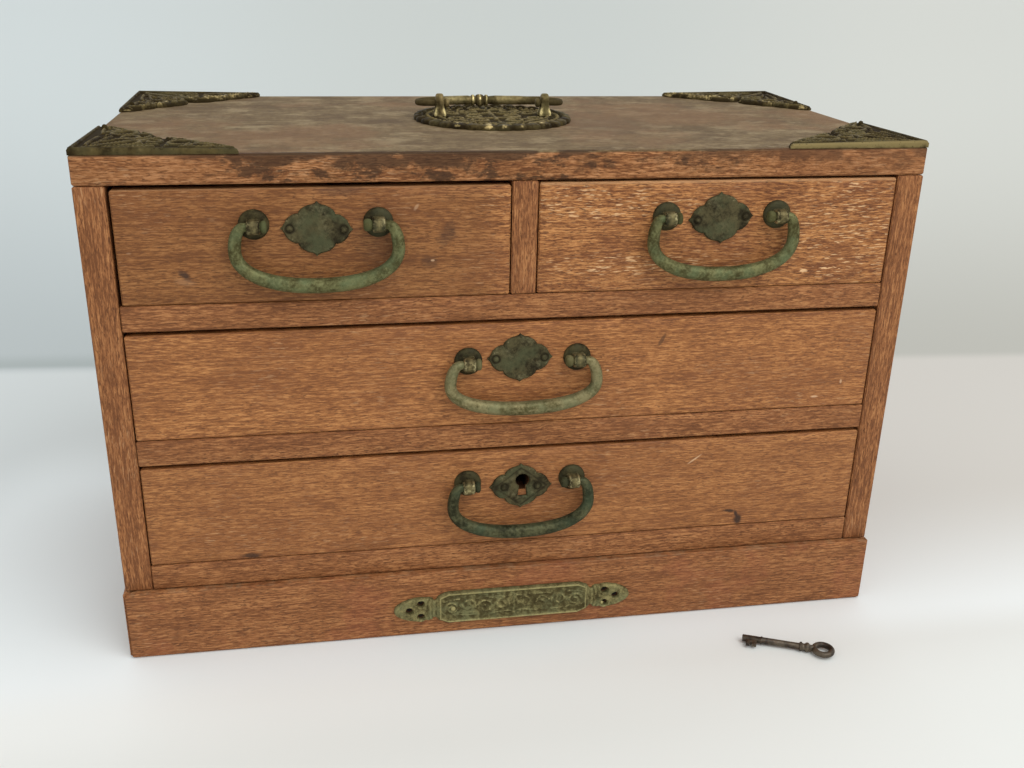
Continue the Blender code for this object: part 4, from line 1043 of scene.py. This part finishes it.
def medallion_surface(places):
    """Chased scrolls in a ring of beads, low mounds under the ears, and leaves round the rim."""
    x, y = places[:, 0] * 1000, places[:, 1] * 1000
    reach, turn = np.hypot(places[:, 0], places[:, 1]) * 1000, np.arctan2(places[:, 1], places[:, 0])
    crest = chased(places, medallion_strokes, 0.30)
    bead_turn = np.round(turn * beads / math.tau) * math.tau / beads
    bead_gap = np.hypot(x - bead_ring * np.cos(bead_turn), y - bead_ring * np.sin(bead_turn))
    crest = np.maximum(crest, np.sqrt(np.clip(1 - (bead_gap / 1.1) ** 2, 0, 1)))
    rough = hammered(places, 11.0, 300, 900)
    height = 0.0012 + chased_rise * crest + cast_roughness * rough
    for spot in ear_spots:
        height = height + 0.0009 * np.exp(-(np.hypot(places[:, 0] - spot, places[:, 1]) / 0.0044) ** 2)
    lobe = np.abs(np.cos(leaves * (turn + math.pi / 2) / 2))
    on_leaf = np.clip((reach - 31.2) / 0.6, 0, 1)
    leaf = 0.0018 + 0.0008 * lobe ** 0.7 - 0.0007 * np.clip((reach - 32.5) / 3.5, 0, 1) + 0.0002 * rough
    height = height + (leaf - height) * on_leaf
    relief = (0.14 + 0.85 * crest) * (1 - on_leaf) + on_leaf * (0.18 + 0.36 * lobe) + 0.14 * rough
    bright = np.zeros(len(places))
    # Painted highlights on the leaves at the front; the flecks on the crests are wear.
    for angle, strength in bright_leaves:
        off = np.degrees(turn) - angle
        bright = np.maximum(bright, strength * np.exp(-(off / 5.4) ** 2))
    flecks = np.clip((crest + 0.3 * rough - 0.80) * 2.8, 0, 1) * (1 - on_leaf)
    patchy = np.clip(1.05 + 0.5 * rough, 0.3, 1.3)
    wear_and_highlight = 0.48 * flecks + 0.84 * bright * on_leaf * patchy * (0.3 + 0.7 * lobe)
    return height, np.clip(relief, 0, 1), wear_and_highlight


plate = cast_plate(medallion_outline, medallion_holes, medallion_surface)
nail_spots = ((0.012, 0.0265), (-0.012, 0.0265), (0, -0.0285))
nails = [dome(x, y, 0.0020, 0.0017, 0.0008, 0.6, 0.35) for x, y in nail_spots]
place = Matrix.Translation((0, 0, cad_top))
add_cast("top_medallion", (plate, *nails), chased_brass, "carcass", place, 50)


# Carrying handle
# A cast brass bail with a beaded collar at its middle, lying back. Its ends turn in two ears that
# stand on the medallion, with ribbed feet that hands have kept bright.
def ear(height, top, foot, sink=0.0008, sides=36):
    """A tapering lug with a spread, ribbed foot and a rounded crown."""
    shares = [(-sink / height, 1.08), (0.0, 1.06), (0.05, 0.98), (0.12, 0.78), (0.20, 0.50), (0.30, 0.26),
              (0.42, 0.10), (0.60, 0.0)]
    sections = [(up, top[0] + (foot[0] - top[0]) * out, top[1] + (foot[1] - top[1]) * out, out)
                for up, out in shares]
    crown = [(0.76, 1.0, 0.97), (0.86, 0.97, 0.86), (0.93, 0.88, 0.66), (0.975, 0.72, 0.42),
             (0.995, 0.5, 0.22)]
    sections += [(up, top[0] * wide, top[1] * deep, 0) for up, wide, deep in crown]
    places, relief, wear_and_highlight = [], [], []
    for up, wide, deep, out in sections:
        for i in range(sides):
            turn = math.tau * i / sides
            x, y = math.cos(turn), math.sin(turn)
            square = (abs(x) ** 3.2 + abs(y) ** 3.2) ** (-1 / 3.2)
            rib = 1 + 0.08 * min(1.0, out * 1.6) * math.cos(8 * turn)
            side_rib = 0.5 - 0.5 * math.cos(4 * turn)
            places.append((x * square * wide / 2 * rib, y * square * deep / 2 * rib, height * up))
            relief.append(0.40 + 0.35 * side_rib * min(1.0, 0.4 + out * 2))
            wear_and_highlight.append(0.12 + 0.75 * min(1.0, out * 3) * side_rib ** 2 + (0.15 if up > 0.9 else 0))
    places.append((0, 0, height))
    faces = domed_faces(len(sections), sides)
    return np.array(places), faces, np.array(relief + [0.6]), np.array(wear_and_highlight + [0.4])


olive_brass = patina("olive_brass", (64, 54, 32), (131, 114, 76), (172, 156, 108), (218, 200, 140),
                     (106, 98, 62), metallic=0.40, sheen=0.36)
ear_top, ear_foot_share = (0.0037, 0.0056), 0.88
for spot, node in zip(ear_spots, ("handle_ear_left", "handle_ear_right")):
    low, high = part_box(node)
    lug = ear(high.z - low.z, ear_top, ((high.x - low.x) * ear_foot_share, high.y - low.y))
    add_cast(node, [lug], olive_brass, "carcass", Matrix.Translation((spot, 0, low.z)), 60)
pivot = Vector(joints["carrying_handle_swing"]["pos_m"])
low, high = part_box("carrying_handle")
handle_radii, handle_head = (0.0013, 0.0015, 0.0021), (0.0022, 0.0020)
collar_half, collar_middle = 0.0041, -0.0023
handle_reach, handle_shoulder, lug_half, handle_straight = 0.0252, 0.0090, 0.00185, 0.0011
rest_lift, grip_start = 0.0024, 0.0075
rest_height = low.z + rest_lift
slope = math.asin((pivot.z - rest_height) / handle_reach)
half_spacing = (ear_spots[1] - ear_spots[0]) / 2
side = (high.x - low.x) / 2 - handle_radii[1]
right = half_bail(half_spacing - lug_half - eye_gap, half_spacing + lug_half + handle_straight, side,
                  handle_reach, handle_shoulder, handle_head, handle_radii)
grip = [station for station in right if station[0] > grip_start]
half_collar = [(1.0, 0.86), (0.92, 1.10), (0.78, 1.22), (0.62, 1.12), (0.54, 0.92), (0.46, 0.92),
               (0.38, 1.14), (0.2, 1.26)]
collar = [(-along, wide) for along, wide in half_collar] + [(0.0, 1.28)] + half_collar[::-1]
collar = [(collar_middle - collar_half * along, handle_reach, handle_radii[2] * wide)
          for along, wide in collar]
path = grip + [(0.0050, handle_reach, handle_radii[2])] + collar
path += [(-x, fall, radius) for x, fall, radius in reversed(grip)]
stations = [(pivot.x + x, pivot.y + fall * math.cos(slope), pivot.z - fall * math.sin(slope), radius)
            for x, fall, radius in path]
places, faces, relief, wear_and_highlight = bar(stations, (0, math.sin(slope), math.cos(slope)), lumps=0.05)
along = places[:, 0]
on_collar = np.clip((collar_half + 0.0004 - np.abs(along - collar_middle)) / 0.0004, 0, 1)
beading = 0.5 + 0.5 * np.cos((along - collar_middle) * math.tau / 0.0032)
pale = np.exp(-((along + 0.014) / 0.006) ** 2) + 0.8 * np.exp(-((along - 0.009) / 0.007) ** 2)
ends = np.clip((np.abs(along) - 0.0195) / 0.002, 0, 1)
relief = 0.46 + 0.26 * pale * (1 - on_collar) - 0.34 * ends - 0.4 * on_collar * (1 - beading)
shell = (places, faces, np.clip(relief, 0, 1), 0.05 + 0.16 * pale + 0.75 * on_collar * beading ** 2)
add_cast("carrying_handle", [shell], olive_brass, "carrying_handle", crease=60)


# Cartouche
# A long cast plate on the plinth: a bordered panel with a mirrored run of scrolls, between ribbed
# necks and two rounded tabs with three holes each. One tab's lowest hole still holds a bright screw.
def cartouche_outline(body, tip, high, neck, tab):
    """The plate's outline, in millimetres, counter-clockwise from its right tip."""
    corner = [(tip, 0), (tip - 0.3, tab * 0.22), (tip - 1.4, tab * 0.44), (tip - 3.4, tab * 0.66),
              (tip - 6.0, tab * 0.84), (tip - 9.2, tab * 0.97), (tip - 11.8, tab), (tip - 12.8, tab * 0.96),
              (tip - 13.6, neck * 0.98), (body + 2.6, neck), (body + 1.5, neck * 0.92),
              (body + 0.9, neck * 0.74), (body + 0.2, neck * 0.72), (body - 0.4, neck * 0.86),
              (body - 1.4, high * 0.80), (body - 3.0, high * 0.88), (body - 4.4, high * 0.97),
              (body - 5.6, high)]
    back = corner[:0:-1]
    upper = corner + [(-x, y) for x, y in back]
    return upper + [(-x, -y) for x, y in corner] + [(x, -y) for x, y in back]


body, tip, neck, tab = 34.5, cartouche_tip * 1000, 5.6, 6.0
half_height = (cartouche_high.z - cartouche_low.z) * 500
scroll_spirals = [(5.2, 0.4, 3.4, 1.0, 200, -430, 1.1, 0.2), (12.6, -0.5, 3.6, 1.0, 20, 430, 1.1, 0.2),
                  (20.4, 0.6, 3.5, 1.0, 200, -430, 1.1, 0.2), (27.6, -0.4, 3.2, 0.9, 20, 430, 1.1, 0.2)]
scroll_bends = [
    (0.9, 0.4, (0.6, -4.2), (2.6, -3.4), (7.6, -3.9), (11.0, -4.4)),
    (0.9, 0.5, (1.0, 4.4), (4.0, 3.9), (8.4, 4.6)),
    (0.9, 0.5, (9.4, 3.8), (12.6, 4.3), (16.6, 4.0)), (0.9, 0.5, (17.0, -4.2), (20.6, -4.2), (24.8, -3.6)),
    (0.9, 0.5, (24.4, 4.2), (27.6, 4.0), (31.6, 3.0)), (0.9, 0.4, (30.6, -3.4), (32.2, -1.6), (32.4, 0.8))]
middle_bends = [(1.2, 0.3, (0, -4.6), (0, 0), (0, 4.6)), (0.9, 0.0, (-1.4, 1.6), (0, 3.2), (1.4, 1.6))]
scrolls = doubled(strokes_of(scroll_spirals, scroll_bends), lambda x, y: (-x, y))
scrolls += strokes_of([], middle_bends)


def cartouche_surface(places):
    """A bordered panel of scrolls, ribbed necks, and swelling tabs raised round their holes."""
    x, y = np.abs(places[:, 0]) * 1000, np.abs(places[:, 1]) * 1000
    crest = chased(places, scrolls, 0.35, 1.1)
    rough = hammered(places, 3.0, 520, 1300)
    corner_cut = np.clip(x - body + 5.6, 0, None) * 0.45
    to_edge = np.minimum(body - 1.0 - x, half_height - corner_cut - y)
    border = np.exp(-((to_edge - 0.9) / 0.5) ** 2)
    inside = np.clip((to_edge - 1.6) / 0.6, 0, 1)
    panel = 0.0014 + 0.0007 * np.maximum(crest * 0.9 * inside, border) + 0.0003 * rough * inside
    ribs = np.abs(np.sin((x - body + 0.10 * (y - 2) ** 2) * math.pi / 1.9))
    neck_band = 0.0011 + 0.0007 * ribs + 0.0002 * rough
    swell = 0.0015 + 0.0004 * np.sqrt(np.clip(1 - (y / tab) ** 2, 0, 1)) + 0.00008 * rough
    for hole_across, hole_up in tab_holes:
        to_hole = np.hypot(x - hole_across * 1000, y - abs(hole_up) * 1000)
        swell = swell + 0.0003 * np.exp(-((to_hole - 2.1) / 0.4) ** 2)
    on_panel = np.clip((body - 0.9 - x) / 0.4, 0, 1)
    on_tab = np.clip((x - tip + 13.8) / 0.5, 0, 1)
    height = neck_band * (1 - on_panel) * (1 - on_tab) + panel * on_panel + swell * on_tab
    relief = np.maximum(0.24 + crest * 0.42, border * 0.95) * on_panel
    relief = relief + (1 - on_panel) * (1 - on_tab) * (0.2 + ribs * 0.4)
    relief = relief + 0.62 * on_tab + 0.35 * rough * inside + 0.15 * rough
    # The border is brightened as wear, and more on its upper side as a painted highlight.
    upper = np.clip(places[:, 1] * 1000 / 6, 0, 1)
    return height, np.clip(relief, 0, 1), (0.20 + 0.30 * upper) * border * on_panel


cartouche_brass = patina("cartouche_brass", (70, 62, 38), (128, 120, 80), (160, 150, 102), (196, 184, 128),
                         (113, 113, 79), scale=1.6, metallic=0.3)
outline = [(x / 1000, y / 1000) for x, y in cartouche_outline(body, tip, half_height, neck, tab)]
steps_out = zip(outline, outline[1:])
outline = outline[:1] + [point for before, point in steps_out if math.dist(before, point) > 1e-6]
holes = [oval(side * x * 1000, y * 1000, 1.55, 1.5) for x, y in tab_holes for side in (-1, 1)]
plate = cast_plate(outline, holes, cartouche_surface, cell=0.00045)
screw_x, screw_z = tab_holes[1][0] - 0.0007, tab_holes[1][1] - 0.0006
pins = [dome(-0.0270, -0.0004, 0.0017, 0.0011, 0.0006, 0.9, 0.5),
        dome(-0.0248, -0.0004, 0.0016, 0.0013, 0.0003, 0.0, 0.0),
        dome(0.0280, -0.0012, 0.0016, 0.0013, 0.0003, 0.0, 0.0),
        dome(screw_x, screw_z, 0.0008, 0.0009, 0.0006, 1.0, 1.4)]
stand = on_front(cartouche_x, plinth_low.y, cartouche_z)
add_cast("plinth_cartouche", (plate, *pins), cartouche_brass, "carcass", stand, 50)


# Key
# The drawer's key, of dark steel, lies loose on the table before the chest. It has a ring bow, a
# ringed collar, a shank drilled at its end, and a plain bit with one notch.
def ring_bar(x, radius, tube, sides=16, steps=40):
    """A ring of round bar that lies flat about a place on X."""
    turns = [math.tau * i / steps for i in range(steps)]
    stations = [(x + radius * math.cos(turn), radius * math.sin(turn), 0, tube) for turn in turns]
    return bar(stations, (0, 0, 1), sides, 0.03, closed=True)


def key_steel():
    """Dark steel, rusted in specks, and paler on the bow where fingers turn it."""
    material, any_node = new_material("key_steel")
    place = any_node.node("TexCoord", output="Object")
    wear_and_highlight = any_node.node("Attribute", {"attribute_name": "wear_and_highlight"}, output="Fac")
    cloud, speck = place.noise(260, 4, 0.6), place.noise(1500, 3, 0.6)
    shade = cloud.between(0.38, 0.62).mix(colour(46, 40, 33), colour(94, 84, 70))
    shade = coated(
        shade,
        (speck.between(0.52, 0.68) * 0.7, (84, 54, 40)),
        ((wear_and_highlight + (speck - 0.5) * 0.5).between(0.4, 0.8) * 0.8, (150, 134, 112)))
    looks = {"Base Color": shade, "Metallic": 0.6, "Roughness": speck * 0.3 + 0.30}
    return dress(material, looks, cloud + speck, 0.5, 0.0001)


def flat_bit(places):
    """The bit's level face, as height, relief and wear."""
    return [np.full(len(places), level) for level in (bit_thickness, 0.5, 0.1)]


key_length, key_turn = 0.0395, math.radians(-23.4)
key_x, key_y, key_lift = 0.1150, -0.1212, 0.0021
bow_radius, bow_tube, bore_radius, bit_thickness = 0.0050, 0.0013, 0.0008, 0.0016
bow_middle = key_length / 2 - bow_radius
shank = [(-16.70, 0.1), (-16.75, bore_radius * 1000), (-19.75, bore_radius * 1000), (-19.75, 1.3),
         (-19.5, 1.5), (-12.0, 1.5), (-11.8, 1.7), (-11.2, 1.7), (-11.0, 1.5), (3.8, 1.4), (4.6, 1.45),
         (4.9, 2.0), (5.6, 2.1), (5.9, 1.6), (6.5, 1.5), (7.0, 1.55), (7.4, 2.0), (8.2, 2.1), (8.7, 1.9),
         (9.1, 1.4), (10.8, 1.3)]
shank = [(x / 1000, 0, 0, radius / 1000) for x, radius in shank]
places, faces, relief, wear_and_highlight = bar(shank, (0, 0, 1), 24, 0.02)
stem = (places, faces, relief, np.clip((places[:, 0] - 0.004) / 0.002, 0, 1) * 0.5)
bow = ring_bar(bow_middle, bow_radius - bow_tube, bow_tube)
bit_steps = [(-18.1, 1.0), (-18.1, 4.5), (-16.6, 4.6), (-16.6, 3.2), (-15.5, 3.2), (-15.5, 4.6), (-13.6, 4.5),
             (-13.5, 1.0)]
bit = cast_plate([(x / 1000, -y / 1000) for x, y in bit_steps], [], flat_bit, round_over=0.0002)
key_place = Matrix.Translation((key_x, key_y, key_lift)) @ Matrix.Rotation(key_turn, 4, "Z")
bit_place = key_place @ Matrix.Translation((0, 0, -bit_thickness / 2))
shells = [laid(stem, key_place), laid(bow, key_place), laid(bit, bit_place)]
add_piece("drawer_key_forged", casting(*shells), key_steel(), "drawer_key", "drawer_key", 50)


# Stage
# A plain pale table that turns cooler and greyer beyond a soft line behind the chest, painted with shade
# round and behind the chest, with painted light beside it, with painted shade that deepens towards the
# line and a painted shadow along it, under an even sky and one broad lamp high on the right. The
# camera stands where the photograph was taken from.
def table_finish():
    """A pale table, coloured by place so that it falls off behind the chest as the photograph's does: painted
    shade round the chest, painted light beside it, and painted shade and a painted shadow beyond the line.
    """
    material, any_node = new_material("table")
    place = any_node.node("TexCoord", output="Object")
    depth = place.vector("DOT_PRODUCT", (0.0737, 0.9973, 0), output="Value")
    across = place.part(0)
    # Behind the chest: painted shade, warmer and darker on the right.
    behind = across.between(-0.30, 0.35).mix(colour(210, 217, 217), colour(202, 199, 192))
    # In front of the chest: painted shade, darker on its right side.
    ahead = across.between(-0.05, 0.16).mix(colour(237, 240, 237), colour(223, 225, 221))
    # Painted light on the table beside the chest.
    ahead = (place.part(1).between(-0.125, -0.095) * 0.7).mix(ahead, colour(243, 249, 250))
    # Painted shade, a little darker towards the camera.
    ahead = place.part(1).between(-0.115, -0.165).mix(ahead, colour(226, 229, 225))
    near = place.part(1).between(0.02, -0.15).mix(behind, ahead)
    # A painted pool of light by the chest's left side.
    painted_light_pool = blot(place, (-0.215, 0.02), 0.085, 0.140, ragged=0.0, flat=True)
    near = (painted_light_pool * 0.9).mix(near, colour(232, 240, 241))
    from_front = place.vector("ADD", (0.0763, 0.4843, 0))
    bearing = from_front.math("ARCTAN2", from_front.part(0), from_front.part(1))
    away = from_front.vector("DOT_PRODUCT", (0.1787, 0.9839, 0), output="Value")
    rise = away.math("DIVIDE", 0.2789, away).between(0.37, 0.07)
    # Beyond the line: painted shade, darker near the line and paler further off.
    foot = bearing.between(-0.25, 0.60).mix(colour(184, 193, 194), colour(181, 181, 173))
    crown = bearing.between(-0.25, 0.12).mix(colour(221, 231, 231), colour(214, 221, 217))
    crown = bearing.between(0.20, 0.55).mix(crown, colour(228, 231, 224))
    far = rise.mix(foot, crown)
    # A painted shadow along the line where the far part begins.
    line = depth.between(0.244, 0.256) * depth.between(0.285, 0.256) * bearing.between(0.05, -0.25)
    far = (line * 0.8).mix(far, colour(166, 176, 175))
    return dress(material, {"Base Color": depth.between(0.236, 0.256).mix(near, far), "Roughness": 0.75})


reach = 30.0
mesh = bpy.data.meshes.new("table")
corners = [(-reach, -reach, 0), (reach, -reach, 0), (reach, reach, 0), (-reach, reach, 0)]
mesh.from_pydata(corners, [], [[0, 1, 2, 3]])
mesh.materials.append(table_finish())
table = bpy.data.objects.new("table", mesh)
bpy.context.scene.collection.objects.link(table)
table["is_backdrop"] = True

world = bpy.data.worlds.new("studio")
bpy.context.scene.world = world
world.use_nodes = True
background = world.node_tree.nodes["Background"]
background.inputs["Color"].default_value = (1, 1, 1, 1)
background.inputs["Strength"].default_value = 0.85
lamp = bpy.data.lights.new("key", "AREA")
lamp.shape = "RECTANGLE"
lamp.size = lamp.size_y = 1.1
lamp.energy = 10
key = bpy.data.objects.new("key", lamp)
key.location = (0.50, -0.85, 1.20)
key.rotation_euler = (Vector((0, 0, 0.1)) - key.location).to_track_quat("-Z", "Y").to_euler()
bpy.context.scene.collection.objects.link(key)

camera = bpy.data.cameras.new("camera")
camera.sensor_width = 36
camera.lens = 37.44
viewer = bpy.data.objects.new("camera", camera)
bpy.context.scene.collection.objects.link(viewer)
viewer.location = (-0.0763, -0.4843, 0.2789)
pitch, roll, heading = -0.38095, -0.02149, -0.17966
turn = Matrix.Rotation(heading, 3, "Z") @ Matrix.Rotation(pitch, 3, "X") @ Matrix.Rotation(roll, 3, "Y")
viewer.rotation_euler = (turn @ Matrix.Rotation(math.pi / 2, 3, "X")).to_euler()
bpy.context.scene.camera = viewer
bpy.context.scene.view_settings.view_transform = "Standard"

seen_low, seen_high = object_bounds()
